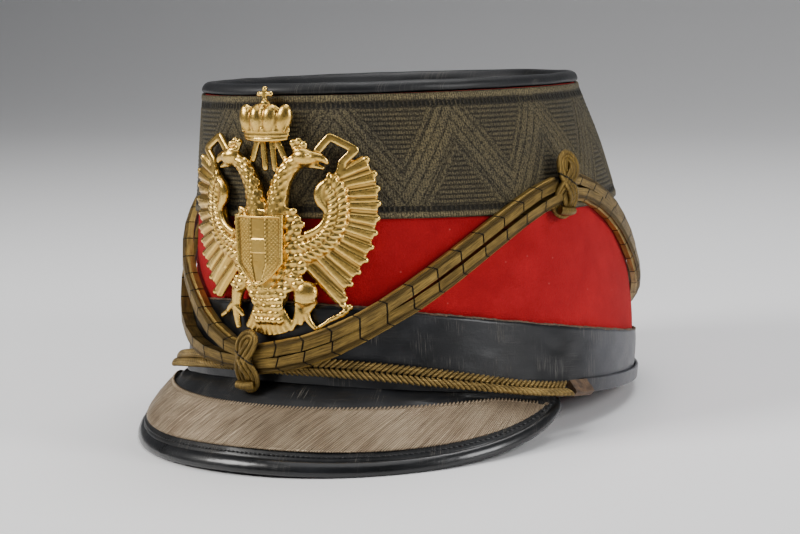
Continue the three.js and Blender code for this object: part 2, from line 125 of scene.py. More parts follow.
# The wall's oval at shares of its height.
rear_reach = curve_through(
    [(0, 94.4), (0.1, 99.2), (0.25, 101.3), (0.4, 98.1), (0.55, 92.6), (0.7, 84.6), (0.85, 74), (1, 60.6)]
)
half_width = curve_through(
    [(0, 84.1), (0.1, 83.3), (0.25, 81.8), (0.4, 79.9), (0.55, 77.5), (0.7, 74.5), (0.85, 70.9), (1, 66.6)]
)


def oval(share):
    rear = rear_reach(share)
    front = FRONT_REACH + FRONT_LEAN * np.asarray(share, float)
    return half_width(share), (rear + front) / 2, (rear - front) / 2


def wall_height(angle):
    return FRONT_HEIGHT + (REAR_HEIGHT - FRONT_HEIGHT) * (1 - np.cos(angle)) / 2


def outwards(angle, share):
    half, length, _ = oval(share)
    x = length * np.sin(angle)
    y = -half * np.cos(angle)
    size = np.hypot(x, y)
    return x / size, y / size


def wall(angle, share, out):
    """Places on the hat's wall: angle round from the front, share of its height, and distance out."""
    half, length, middle = oval(share)
    across, along = outwards(angle, share)
    x = half * np.sin(angle) + out * across
    y = middle - length * np.cos(angle) + out * along
    z = share * wall_height(angle) - SIDE_DIP * (1 - share) * np.sin(angle) ** 2
    return np.stack([x, y, z], 1)


def top_plane(y):
    _, length, middle = oval(1.0)
    return FRONT_HEIGHT + (REAR_HEIGHT - FRONT_HEIGHT) * (1 - (middle - y) / length) / 2


def stand(places):
    """From the hat's own frame to the frame's metres."""
    cosine = math.cos(REST_TILT)
    sine = math.sin(REST_TILT)
    x, y, z = places.T
    turned = np.stack([x, y * cosine + z * sine, z * cosine - y * sine], 1) + HAT_LIFT
    turned[:, 2] = np.maximum(turned[:, 2], 0.05)
    return turned * MM


ROUND = np.linspace(-math.pi, math.pi, 721)
_oval_line = wall(ROUND, np.full(721, 0.8), 0.0)
_steps = np.hypot(np.diff(_oval_line[:, 0]), np.diff(_oval_line[:, 1]))
_arc = np.concatenate([[0], np.cumsum(_steps)])
_arc = _arc - _arc[360]
PERIMETER = _arc[-1] - _arc[0]


def around(angle):
    """Distance round the upper wall from the front."""
    return np.interp(angle, ROUND, _arc)


def ping(value, size):
    """Up and down between 0 and size."""
    if isinstance(value, Field):
        return value.op("PINGPONG", size)
    return size - np.abs(np.mod(value, 2 * size) - size)


def ramp(value, start, end):
    """0 before start and 1 after end, in a straight line between."""
    if isinstance(value, Field):
        return ((value - start) / (end - start)).clamped()
    return np.clip((value - start) / (end - start), 0, 1)


# ---------------------------------------------------------------- making meshes


def only(*pieces):
    bpy.ops.object.select_all(action="DESELECT")
    for piece in pieces:
        piece.select_set(True)
    bpy.context.view_layer.objects.active = pieces[0]


def named(name):
    piece = bpy.context.object
    piece.name = name
    piece.data.name = name
    return piece


def flat_sheet(name, columns, rows):
    """A flat unit sheet that is then laid on the hat. Its X goes round and its Y up."""
    bpy.ops.object.select_all(action="DESELECT")
    bpy.ops.mesh.primitive_grid_add(x_subdivisions=columns, y_subdivisions=rows, size=1)
    return named(name)


def box(name, size, place=(0, 0, 0)):
    bpy.ops.object.select_all(action="DESELECT")
    bpy.ops.mesh.primitive_cube_add(size=1, location=place)
    piece = named(name)
    piece.scale = size
    bpy.ops.object.transform_apply(location=True, rotation=True, scale=True)
    return piece


def ellipsoid(name, segments, rings, half, place=(0, 0, 0), turn=0.0):
    bpy.ops.object.select_all(action="DESELECT")
    bpy.ops.mesh.primitive_uv_sphere_add(segments=segments, ring_count=rings, radius=1, location=place)
    piece = named(name)
    piece.scale = half
    piece.rotation_euler = (0, 0, math.radians(turn))
    bpy.ops.object.transform_apply(location=True, rotation=True, scale=True)
    return piece


def points_of(piece):
    flat = np.empty(len(piece.data.vertices) * 3)
    piece.data.vertices.foreach_get("co", flat)
    return flat.reshape(-1, 3)


def put(piece, places):
    piece.data.vertices.foreach_set("co", np.asarray(places, float).ravel())
    piece.data.update()


def write_uv(piece, u, v):
    mesh = piece.data
    corner = np.empty(len(mesh.loops), int)
    mesh.loops.foreach_get("vertex_index", corner)
    layer = mesh.uv_layers.active or mesh.uv_layers.new(name="UVMap")
    flat = np.stack([np.asarray(u, float)[corner], np.asarray(v, float)[corner]], 1)
    layer.data.foreach_set("uv", flat.ravel())


def close_seams(piece, distance=0.00002, recalculate=True):
    only(piece)
    bpy.ops.object.mode_set(mode="EDIT")
    bpy.ops.mesh.select_all(action="SELECT")
    bpy.ops.mesh.remove_doubles(threshold=distance)
    if recalculate:
        bpy.ops.mesh.normals_make_consistent(inside=False)
    bpy.ops.object.mode_set(mode="OBJECT")


def modify(piece, kind, **settings):
    modifier = piece.modifiers.new(kind.lower(), kind)
    for key, value in settings.items():
        setattr(modifier, key, value)
    only(piece)
    bpy.ops.object.modifier_apply(modifier=modifier.name)


def thicken(piece, thickness):
    """Gives a laid sheet its thickness, inwards from its face."""
    modify(piece, "SOLIDIFY", thickness=thickness * MM, offset=-1)


def soften(piece, width, angle=40, segments=2):
    limit = math.radians(angle)
    modify(piece, "BEVEL", width=width * MM, segments=segments, limit_method="ANGLE", angle_limit=limit)


def subdivide(piece, levels):
    modify(piece, "SUBSURF", subdivision_type="SIMPLE", levels=levels, render_levels=levels)


def repeat_along(piece, count, pitch):
    """Copies of a piece in a row along X."""
    modify(
        piece,
        "ARRAY",
        count=count,
        use_relative_offset=False,
        use_constant_offset=True,
        constant_offset_displace=(pitch, 0, 0),
    )


def bevel_edges(piece, chosen, width, segments=1):
    """Bevels, in edit mode, the edges whose middles are chosen by place."""
    only(piece)
    bpy.ops.object.mode_set(mode="EDIT")
    bpy.ops.mesh.select_all(action="DESELECT")
    bpy.ops.mesh.select_mode(type="EDGE")
    bpy.ops.object.mode_set(mode="OBJECT")
    mesh = piece.data
    for edge in mesh.edges:
        a, b = (mesh.vertices[i].co for i in edge.vertices)
        edge.select = bool(chosen((a + b) / 2))
    bpy.ops.object.mode_set(mode="EDIT")
    bpy.ops.mesh.bevel(offset=width, segments=segments, affect="EDGES")
    bpy.ops.object.mode_set(mode="OBJECT")


def joined(name, pieces):
    only(*pieces)
    bpy.ops.object.join()
    piece = named(name)
    bpy.ops.object.transform_apply(location=True, rotation=True, scale=True)
    return piece


def copy_of(model, matrix):
    piece = model.copy()
    piece.data = model.data.copy()
    bpy.context.collection.objects.link(piece)
    piece.matrix_world = matrix
    return piece


def drop(*pieces):
    for piece in pieces:
        bpy.data.objects.remove(piece, do_unlink=True)


def finished(piece, material, slot, *nodes):
    piece.data.materials.clear()
    piece.data.materials.append(material)
    piece.data.polygons.foreach_set("use_smooth", [True] * len(piece.data.polygons))
    piece.data.update()
    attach(piece, "root")
    if nodes:
        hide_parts(*nodes)


def waves(u, v, seed, size):
    """A gentle unevenness from -1 to 1, of hand work and age, about size millimetres across."""
    dice = np.random.default_rng(seed)
    total = np.zeros(np.shape(u))
    for _ in range(7):
        tilt = dice.uniform(0, math.pi)
        pitch = size * dice.uniform(0.6, 1.6)
        phase = dice.uniform(0, TURN)
        total += np.sin((u * math.cos(tilt) + v * math.sin(tilt)) * TURN / pitch + phase)
    return total / 7


def uneven(u, v, seed, size):
    """waves() on the wall, fading out where the sheet's two ends meet at the rear."""
    return waves(u, v, seed, size) * np.clip((PERIMETER / 2 - np.abs(u)) / 20, 0, 1)


# ---------------------------------------------------------------- shader helpers


class Field:
    """A number that changes over a surface, worked out by a shader tree's math nodes."""

    def __init__(self, tree, socket):
        self.tree = tree
        self.socket = socket

    def op(self, operation, *others, clamp=False):
        node = self.tree.nodes.new("ShaderNodeMath")
        node.operation = operation
        node.use_clamp = clamp
        for slot, value in zip(node.inputs, (self, *others)):
            if isinstance(value, Field):
                self.tree.links.new(value.socket, slot)
            else:
                slot.default_value = float(value)
        return Field(self.tree, node.outputs[0])

    def __add__(self, other):
        return self.op("ADD", other)

    def __sub__(self, other):
        return self.op("SUBTRACT", other)

    def __mul__(self, other):
        return self.op("MULTIPLY", other)

    def __truediv__(self, other):
        return self.op("DIVIDE", other)

    def __rsub__(self, other):
        return (self * -1) + other

    __radd__ = __add__
    __rmul__ = __mul__

    def __abs__(self):
        return self.op("ABSOLUTE")

    def clamped(self):
        return self.op("ADD", 0.0, clamp=True)


class Paint:
    """A material under construction: its tree, and the nodes that the finishes share."""

    def __init__(self, name, **constants):
        self.material = bpy.data.materials.new(name)
        self.material.use_nodes = True
        self.tree = self.material.node_tree
        self.shader = self.tree.nodes["Principled BSDF"]
        for key, value in constants.items():
            self.shader.inputs[key.replace("_", " ")].default_value = value
        self.coordinates = self.tree.nodes.new("ShaderNodeTexCoord")

    def uv(self):
        split = self.tree.nodes.new("ShaderNodeSeparateXYZ")
        self.tree.links.new(self.coordinates.outputs["UV"], split.inputs[0])
        return Field(self.tree, split.outputs[0]), Field(self.tree, split.outputs[1])

    def vector(self, x, y, z=0.0):
        node = self.tree.nodes.new("ShaderNodeCombineXYZ")
        for slot, value in zip(node.inputs, (x, y, z)):
            if isinstance(value, Field):
                self.tree.links.new(value.socket, slot)
            else:
                slot.default_value = value
        return node.outputs[0]

    def object_mm(self):
        node = self.tree.nodes.new("ShaderNodeVectorMath")
        node.operation = "SCALE"
        self.tree.links.new(self.coordinates.outputs["Object"], node.inputs[0])
        node.inputs["Scale"].default_value = 1000
        return node.outputs[0]

    def group(self, name, output, **values):
        node = self.tree.nodes.new("ShaderNodeGroup")
        node.node_tree = GROUPS[name]
        for key, value in values.items():
            slot = node.inputs[key]
            if isinstance(value, Field):
                self.tree.links.new(value.socket, slot)
            elif isinstance(value, bpy.types.NodeSocket):
                self.tree.links.new(value, slot)
            else:
                slot.default_value = value
        return Field(self.tree, node.outputs[output])

    def mottle(self, place, size, contrast):
        return self.group("mottle", "Value", Place=place, Size=size, Contrast=contrast)

    def threads(self, output, place, pitch, lean):
        return self.group("thread_rows", output, Place=place, Pitch=pitch, Lean=lean)

    def blend(self, factor, first, second):
        node = self.tree.nodes.new("ShaderNodeMix")
        node.data_type = "RGBA"
        self.tree.links.new(factor.socket, node.inputs[0])
        for slot, value in ((node.inputs[6], first), (node.inputs[7], second)):
            if isinstance(value, bpy.types.NodeSocket):
                self.tree.links.new(value, slot)
            else:
                slot.default_value = (*value, 1)
        return node.outputs[2]

    def feed(self, name, value):
        socket = value.socket if isinstance(value, Field) else value
        self.tree.links.new(socket, self.shader.inputs[name])

    def relief(self, height, depth, strength=1.0):
        """Feeds a height in shares of depth, which is in millimetres, to the surface normal."""
        node = self.tree.nodes.new("ShaderNodeBump")
        node.inputs["Strength"].default_value = strength
        node.inputs["Distance"].default_value = depth * MM
        self.tree.links.new(height.socket, node.inputs["Height"])
        self.tree.links.new(node.outputs[0], self.shader.inputs["Normal"])


GROUPS = {}


def make_group(name, inputs, outputs, build):
    """A node group with a Place vector and float inputs, whose float outputs build() works out."""
    tree = bpy.data.node_groups.new(name, "ShaderNodeTree")
    tree.interface.new_socket(name="Place", in_out="INPUT", socket_type="NodeSocketVector")
    for key in inputs:
        tree.interface.new_socket(name=key, in_out="INPUT", socket_type="NodeSocketFloat")
    for key in outputs:
        tree.interface.new_socket(name=key, in_out="OUTPUT", socket_type="NodeSocketFloat")
    entry = tree.nodes.new("NodeGroupInput")
    leave = tree.nodes.new("NodeGroupOutput")
    results = build(tree, entry)
    for key, field in results.items():
        tree.links.new(field.socket, leave.inputs[key])
    GROUPS[name] = tree


def group_noise(tree, place, scale, detail=4.0, roughness=0.6):
    node = tree.nodes.new("ShaderNodeTexNoise")
    node.inputs["Detail"].default_value = detail
    node.inputs["Roughness"].default_value = roughness
    tree.links.new(place, node.inputs["Vector"])
    if isinstance(scale, Field):
        tree.links.new(scale.socket, node.inputs["Scale"])
    else:
        node.inputs["Scale"].default_value = scale
    return Field(tree, node.outputs[0])


def build_threads(tree, entry):
    """Rows of thread: Lean tips them over, and each row takes the light in its own way."""
    split = tree.nodes.new("ShaderNodeSeparateXYZ")
    tree.links.new(entry.outputs["Place"], split.inputs[0])
    x = Field(tree, split.outputs[0])
    y = Field(tree, split.outputs[1])
    lean = Field(tree, entry.outputs["Lean"])
    pitch = Field(tree, entry.outputs["Pitch"])
    row = (x + y * lean) / pitch
    middle = abs(row.op("FRACT") - 0.5) * 2
    height = 1 - middle * middle
    dice = tree.nodes.new("ShaderNodeTexWhiteNoise")
    dice.noise_dimensions = "1D"
    tree.links.new(row.op("FLOOR").socket, dice.inputs["W"])
    return {"Height": height, "Glint": Field(tree, dice.outputs["Value"])}


def build_mottle(tree, entry):
    """Soft patches: Size is how wide they are."""
    size = Field(tree, entry.outputs["Size"])
    scale = size.op("POWER", -1.0)
    noise = group_noise(tree, entry.outputs["Place"], scale)
    contrast = Field(tree, entry.outputs["Contrast"])
    return {"Value": ((noise - 0.5) * contrast).op("ADD", 0.5, clamp=True)}


def build_scratches(tree, entry):
    """Thin marks along the second direction of Place, here and there."""
    stretch = tree.nodes.new("ShaderNodeVectorMath")
    stretch.operation = "MULTIPLY"
    stretch.inputs[1].default_value = (3.0, 0.07, 0.8)
    tree.links.new(entry.outputs["Place"], stretch.inputs[0])
    fine = group_noise(tree, stretch.outputs[0], 1.0, 6.0, 0.7)
    patches = group_noise(tree, entry.outputs["Place"], 0.07, 2.0, 0.5)
    amount = Field(tree, entry.outputs["Amount"])
    mask = ((fine - 0.54) * 9).clamped() * ((patches - 0.5) * 7).clamped()
    return {"Mask": (mask * amount).clamped()}


def build_specks(tree, entry):
    """Small scattered bright bits: lint on the felt, and painted glints of metal thread on the lace."""
    cells = tree.nodes.new("ShaderNodeTexVoronoi")
    size = Field(tree, entry.outputs["Spacing"]).op("POWER", -1.0)
    tree.links.new(entry.outputs["Place"], cells.inputs["Vector"])
    tree.links.new(size.socket, cells.inputs["Scale"])
    distance = Field(tree, cells.outputs["Distance"])
    split = tree.nodes.new("ShaderNodeSeparateColor")
    tree.links.new(cells.outputs["Color"], split.inputs[0])
    chosen = Field(tree, split.outputs[0]) - (1 - Field(tree, entry.outputs["Share"]))
    near = ((0.09 - distance) * 30).clamped()
    return {"Mask": near * (chosen * 50).clamped()}


GROUP_TABLE = [
    ("thread_rows", ("Pitch", "Lean"), ("Height", "Glint"), build_threads),
    ("mottle", ("Size", "Contrast"), ("Value",), build_mottle),
    ("scratches", ("Amount",), ("Mask",), build_scratches),
    ("specks", ("Spacing", "Share"), ("Mask",), build_specks),
]
for group_row in GROUP_TABLE:
    make_group(*group_row)


# ---------------------------------------------------------------- materials


def lace_weave(u, v, sine):
    """The lace's woven pattern over its face: u runs round it and v up it, in millimetres."""
    half = PERIMETER / LACE_ZIGZAGS / 2
    swing = ping(u - LACE_VALLEY, half) / half
    from_line = (v - 6.0 - 30.0 * swing) * 0.57
    border = 1 - ramp(v, 4.2, 4.5) + ramp(v, 37.9, 38.2)
    stripes = (1 - ramp(abs(from_line), 4.6, 4.9)) * ramp(ping(from_line + 0.8, 1.6), 0.22, 0.5)
    inside = ramp(abs(from_line), 7.4, 7.8)
    hatch = inside * ramp(ping(v, 0.8), 0.2, 0.5)
    frame_line = ramp(abs(from_line), 5.8, 6.0) * (1 - ramp(abs(from_line), 7.0, 7.3))
    ribs = sine(u * (TURN / 0.95)) * 0.5 + 0.5
    return border, stripes, hatch, frame_line, inside, ribs


def lace_relief(u, v):
    border, stripes, hatch, frame_line, *_ = lace_weave(u, v, np.sin)
    field = stripes * 0.2 + hatch * 0.2 + frame_line * 0.12
    slots = ((np.abs(v - 3.3) < 0.75) | (np.abs(v - 39.4) < 0.8)) * ramp(ping(u, 0.9), 0.3, 0.5)
    edge = 0.25 * (1 - np.abs(v - 1.2) / 1.3).clip(0, 1) + 0.3 * (1 - np.abs(v - 42.1) / 1.4).clip(0, 1)
    return (1 - border) * field + edge + border * 0.1 - 0.28 * slots


def paint_lace():
    paint = Paint("tarnished_lace", Metallic=0.55, Roughness=0.42)
    u, v = paint.uv()
    border, stripes, hatch, frame_line, inside, ribs = lace_weave(u, v, lambda field: field.op("SINE"))
    place = paint.vector(u, v)
    grain = paint.threads("Height", place, 0.62, 0.0)
    rows = paint.threads("Height", paint.vector(v, u), 0.55, 0.0)
    glint = paint.threads("Glint", paint.vector(u + v * 1.7, v), 0.62, 0.0)
    # Painted glints: small bright specks stand in for light catching single metal threads.
    painted_glints = paint.group("specks", "Mask", Place=place, Spacing=1.3, Share=0.55)
    tarnish = paint.mottle(paint.object_mm(), 26.0, 2.2)
    fine = paint.mottle(paint.object_mm(), 0.6, 3.4)
    low_slots = 1 - ramp(abs(v - 3.3), 0.6, 0.85)
    high_slots = 1 - ramp(abs(v - 39.4), 0.65, 0.9)
    slots = (low_slots + high_slots) * ramp(ping(u, 0.9), 0.3, 0.6)
    field = (stripes * 0.7 + hatch * 0.8 + frame_line * 0.6) * (1 - border)
    edge = (1 - ramp(abs(v - 1.2), 0.5, 1.1)) + (1 - ramp(abs(v - 41.9), 0.7, 1.3))
    # Painted light: each rib and each thread row is coloured lighter along its crest and darker between.
    rib_light = (ribs * 0.65 + 0.35) * (rows * 0.4 + 0.6)
    dots = ramp(fine, 0.35, 0.6)
    broken = (dots * 0.5 + 0.5) * rib_light
    # The painted glint specks and the lace's bright dots lighten the colour, and the sunk slots are coloured
    # dark as painted shade.
    glints_and_dots = painted_glints * 0.9 + dots * 0.2 * (1 - inside * 0.5)
    light = ((field * 0.46 + edge * 0.6) * broken + glints_and_dots - slots * 1.6).clamped()
    bright = paint.blend(tarnish, (0.22, 0.185, 0.105), (0.38, 0.30, 0.135))
    dark = paint.blend(tarnish, (0.007, 0.0065, 0.005), (0.018, 0.0145, 0.008))
    paint.feed("Base Color", paint.blend(light, dark, bright))
    paint.feed("Roughness", 0.62 - light * 0.22 + glint * 0.08)
    height = field * 0.5 + grain * 0.3 * (1 - inside) + rows * 0.3 * inside + fine * 0.5 - slots * 0.9
    paint.relief(height, 0.35, 0.9)
    return paint.material


def paint_cloth():
    paint = Paint("scarlet_felt", Roughness=0.95, Specular_IOR_Level=0.15, Sheen_Weight=0.1)
    paint.shader.inputs["Sheen Roughness"].default_value = 0.5
    paint.shader.inputs["Sheen Tint"].default_value = (1.0, 0.32, 0.25, 1)
    place = paint.object_mm()
    soft = paint.mottle(place, 12.0, 1.9)
    fibre = paint.mottle(place, 0.7, 2.6)
    lint = paint.group("specks", "Mask", Place=place, Spacing=4.0, Share=0.16)
    red = paint.blend(soft, (0.27, 0.004, 0.008), (0.44, 0.009, 0.014))
    red = paint.blend(fibre * 0.5, red, (0.24, 0.005, 0.009))
    paint.feed("Base Color", paint.blend(lint * 0.4, red, (0.55, 0.16, 0.13)))
    paint.relief(fibre + soft * 0.4, 0.25, 0.6)
    return paint.material


def paint_leather(name, roughness, wear, coat, painted_rear_sheen=0.0):
    paint = Paint(name, Coat_Weight=coat, Coat_Roughness=0.16, Specular_IOR_Level=0.32)
    u, v = paint.uv()
    place = paint.object_mm()
    upright = paint.vector(u, v, 0.0)
    scratch = paint.group("scratches", "Mask", Place=upright, Amount=wear)
    across = paint.group("scratches", "Mask", Place=paint.vector(v * 1.4 + 40, u), Amount=wear * 0.22)
    patch = paint.mottle(place, 22.0, 2.4)
    pores = paint.mottle(place, 1.1, 1.8)
    creases = paint.mottle(paint.vector(u * 0.35, v, 0.0), 5.0, 2.0)
    black = paint.blend(patch, (0.0025, 0.0027, 0.003), (0.009, 0.0097, 0.012))
    # Painted sheen: towards the sides and rear, the black is lightened to a cool grey that stands in for the
    # reflection of a large soft light.
    sheen_towards_rear = ramp(abs(u), 104, 142) * (patch * 0.5 + 0.5) * painted_rear_sheen
    black = paint.blend(sheen_towards_rear, black, (0.082, 0.084, 0.097))
    worn = (scratch + across).clamped()
    paint.feed("Base Color", paint.blend(worn * 0.75, black, (0.16, 0.145, 0.125)))
    paint.feed("Roughness", (patch * 0.16 + pores * 0.08 + worn * 0.3 + roughness).clamped())
    paint.relief(pores * 0.25 + creases * 0.75 - worn * 0.5, 0.22, 0.55)
    return paint.material


def paint_tan():
    paint = Paint("tan_leather", Roughness=0.62)
    place = paint.object_mm()
    patch = paint.mottle(place, 2.4, 2.4)
    paint.feed("Base Color", paint.blend(patch, (0.035, 0.02, 0.011), (0.14, 0.08, 0.04)))
    paint.relief(patch, 0.3, 0.8)
    return paint.material


def paint_bullion():
    paint = Paint("bullion_threads", Metallic=0.5)
    u, v = paint.uv()
    place = paint.vector(u, v)
    thread = paint.threads("Height", place, 1.0, -0.95)
    glint = paint.threads("Glint", place, 1.0, -0.95)
    bundle = paint.threads("Glint", place, 2.1, -0.95)
    stretched = paint.vector(u - v * 0.95, v * 0.12)
    crease = paint.mottle(stretched, 0.8, 4.2)
    patch = paint.mottle(paint.object_mm(), 14.0, 2.2)
    # Painted light and shade: each thread is coloured lighter along its crest and darker where it meets the
    # next, and each row and bundle gets a random painted glint; the creases add lighter streaks.
    light = (thread * 0.6 + glint * 0.26 + bundle * 0.1 + crease * 0.3 - 0.16).clamped()
    pale = paint.blend(patch, (0.36, 0.265, 0.17), (0.54, 0.43, 0.29))
    paint.feed("Base Color", paint.blend(light, (0.062, 0.034, 0.016), pale))
    paint.feed("Roughness", 0.5 - light * 0.14)
    paint.relief(thread * 0.7 + crease * 0.6, 0.3, 0.9)
    return paint.material


def paint_cord(name, joint_pitch, painted_facet_light, dark, middle, pale):
    """Gold cord: UV runs along it and across it, in millimetres, with painted shade in the gap between
    lengths at every pitch.

    With its facet setting at 1, for a cord with a ridge, the colour gets painted shade by the ridge and a
    painted highlight along its outer edge.
    """
    paint = Paint(name, Metallic=0.72)
    u, v = paint.uv()
    streak = paint.mottle(paint.vector(u * 0.14, v * 2.2), 1.1, 2.0)
    rib = paint.threads("Height", paint.vector(u, v), 0.45, 0.25)
    patch = paint.mottle(paint.object_mm(), 8.0, 2.5)
    # Painted light: each winding is coloured lighter along its crest; the lengthwise streaks and patches are
    # the cord's own tone.
    light = (streak * 0.55 + patch * 0.3 + rib * 0.35 - 0.16).clamped()
    # On a ridged cord, painted shade darkens the colour by the ridge and a painted highlight lightens its
    # outer edge.
    ridge = ramp(abs(v - 0.5), 0.5, 1.3) * painted_facet_light + (1 - painted_facet_light)
    light = (light * (ridge * 0.7 + 0.3) + ramp(v, 1.8, 2.5) * 0.3 * painted_facet_light).clamped()
    tone = paint.blend(streak, dark, middle)
    tone = paint.blend(light * light, tone, pale)
    # Painted shade: where two lengths of cord meet, the gap is coloured near black at every pitch.
    painted_gap_shade = 1 - ramp(ping(u - 1, joint_pitch / 2), 0.26, 0.42)
    paint.feed("Base Color", paint.blend(painted_gap_shade, tone, (0.006, 0.004, 0.002)))
    paint.feed("Roughness", 0.5 - light * 0.18)
    paint.relief(rib * 0.6 + streak * 0.6, 0.18, 0.8)
    return paint.material


def paint_gilt(name):
    paint = Paint(name, Metallic=1.0)
    place = paint.object_mm()
    patch = paint.mottle(place, 7.0, 2.0)
    fine = paint.mottle(place, 1.2, 2.2)
    geometry = paint.tree.nodes.new("ShaderNodeNewGeometry")
    hollow = Field(paint.tree, geometry.outputs["Pointiness"])
    # Painted shade: where pointiness is low, in the relief's hollows, the gold is blended to dark brown.
    edge = ((hollow - 0.44) * 11).clamped()
    gold = paint.blend(patch, (0.86, 0.55, 0.125), (0.96, 0.68, 0.20))
    gold = paint.blend(fine * 0.3, gold, (0.66, 0.34, 0.06))
    paint.feed("Base Color", paint.blend(edge, (0.20, 0.085, 0.014), gold))
    paint.feed("Roughness", 0.38 - edge * 0.17 + fine * 0.06)
    paint.relief(fine, 0.10, 0.4)
    return paint.material


def paint_floor():
    paint = Paint("studio_floor", Roughness=0.55)
    place = paint.object_mm()
    patch = paint.mottle(place, 400.0, 0.6)
    paint.feed("Base Color", paint.blend(patch, (0.93, 0.93, 0.94), (0.96, 0.96, 0.97)))
    return paint.material


# The first low point of the lace's zigzag, measured round it from the front.
LACE_VALLEY = float(around(math.radians(20))) + 22.0

felt = paint_cloth()
lace_metal = paint_lace()
band_leather = paint_leather("band_leather", 0.3, 1.2, 0.12, 0.9)
patent = paint_leather("patent_leather", 0.22, 0.5, 0.5)
peak_black = paint_leather("peak_leather", 0.4, 1.6, 0.22)
top_leather = paint_leather("top_leather", 0.4, 0.6, 0.04)
tan = paint_tan()
bullion = paint_bullion()
CORD_PITCH = 11.0
UNJOINTED = 1.0e4
CORD_DARK = (0.022, 0.014, 0.004)
CORD_MIDDLE = (0.12, 0.074, 0.016)
festoon_gold = paint_cord("festoon_gold", CORD_PITCH, 1.0, CORD_DARK, CORD_MIDDLE, (0.45, 0.285, 0.065))
knot_gold = paint_cord("knot_gold", UNJOINTED, 0.0, CORD_DARK, CORD_MIDDLE, (0.42, 0.265, 0.06))
braid_gold = paint_cord(
    "braid_gold", UNJOINTED, 0.0, (0.04, 0.027, 0.009), (0.18, 0.118, 0.034), (0.55, 0.37, 0.12)
)
gilt = paint_gilt("gilt_brass")
floor_paint = paint_floor()


# ---------------------------------------------------------------- wall, lace and leather


def wall_sheet(name, columns, rows, low, high, out, start=-math.pi, end=math.pi):
    """A flat sheet laid on the wall between two shares of its height."""
    piece = flat_sheet(name, columns, rows)
    flat = points_of(piece)
    angle = start + (end - start) * (flat[:, 0] + 0.5)
    foot = low(angle)
    share = foot + (high(angle) - foot) * (flat[:, 1] + 0.5)
    u = around(angle)
    v = (share - foot) * wall_height(angle)
    write_uv(piece, u, v)
    put(piece, stand(wall(angle, share, out(u, v))))
    close_seams(piece, recalculate=False)
    return piece


def flat_share(value):
    return lambda angle: np.full(np.shape(angle), float(value))


def lace_foot(angle):
    lean = np.where(np.cos(angle) > 0, FRONT_LEAN, 33.8)
    return 1 - LACE_DEPTH / np.hypot(wall_height(angle), lean * np.cos(angle))


def band_top(angle):
    drop = (BAND_FRONT_HEIGHT - BAND_REAR_HEIGHT) * (1 - np.cos(angle)) / 2
    rubbed = 0.25 * waves(angle * 95, angle * 0, 4, 16) + 0.12 * waves(angle * 95, angle * 0, 8, 3)
    return (BAND_FRONT_HEIGHT - drop + rubbed) / wall_height(angle)


def make_cloth():
    face = lambda u, v: CLOTH_FACE + 0.25 * uneven(u, v, 3, 30)
    piece = wall_sheet("cloth_wall", 256, 56, flat_share(CLOTH_FOOT), flat_share(1), face)
    thicken(piece, WALL_THICK)
    finished(piece, felt, "scarlet_cloth", "body_wall")


def make_lace():
    face = lambda u, v: LACE_FACE + lace_relief(u, v) + 0.25 * uneven(u, v, 3, 30)
    piece = wall_sheet("lace_band", 512, 72, lace_foot, flat_share(1 - 0.12 / FRONT_HEIGHT), face)
    thicken(piece, 1.0)
    finished(piece, lace_metal, "metal_lace", "gold_lace")


def make_band():
    face = lambda u, v: BAND_FACE + 0.28 * uneven(u, v, 5, 12)
    piece = wall_sheet("leather_foot", 320, 20, flat_share(BAND_FOOT), band_top, face)
    thicken(piece, 1.2)
    finished(piece, band_leather, "black_leather", "leather_band")


def make_torn_edge():
    """The band's upper edge is rubbed through to the tan of the hide."""
    low = lambda angle: band_top(angle) - 0.25 / wall_height(angle)
    frayed = lambda angle: 0.55 + 0.3 * waves(angle * 95, angle * 0, 14, 2.5)
    high = lambda angle: band_top(angle) + frayed(angle) / wall_height(angle)
    face = lambda u, v: 0.85 + 0.2 * waves(u, v, 15, 1.5)
    piece = wall_sheet("worn_leather_edge", 720, 2, low, high, face)
    thicken(piece, 0.8)
    finished(piece, tan, "black_leather")


def make_strip():
    foot = lambda angle: STRIP_FOOT / wall_height(angle)
    top = lambda angle: STRIP_TOP / wall_height(angle)
    face = lambda u, v: STRIP_FACE + 0.12 * waves(u, v, 6, 9)
    piece = wall_sheet("rear_strip", 200, 10, foot, top, face, STRIP_START, TURN - STRIP_START)
    thicken(piece, 1.2)
    soften(piece, 0.35)
    finished(piece, band_leather, "black_leather", "base_strip")


# The top's rolled rim, from its skirt outside, over it and down to its floor:
# distance out from the wall's oval, and height over its edge.
RIM = [
    (-3.4, -6.4), (-3.4, -0.4), (-2.6, 0.35), (-0.6, 0.35), (0.35, 0.4), (0.85, 0.9), (0.95, 1.7),
    (0.6, 2.7), (-0.1, 3.6), (-1.0, 4.1), (-2.1, 4.3), (-3.2, 4.1), (-4.1, 3.5), (-4.8, 2.6),
    (-5.5, 1.2), (-6.6, -1.4), (-7.8, -4.0), (-8.4, -4.7), (-9.2, -5.0),
]
FLOOR_RINGS = 14


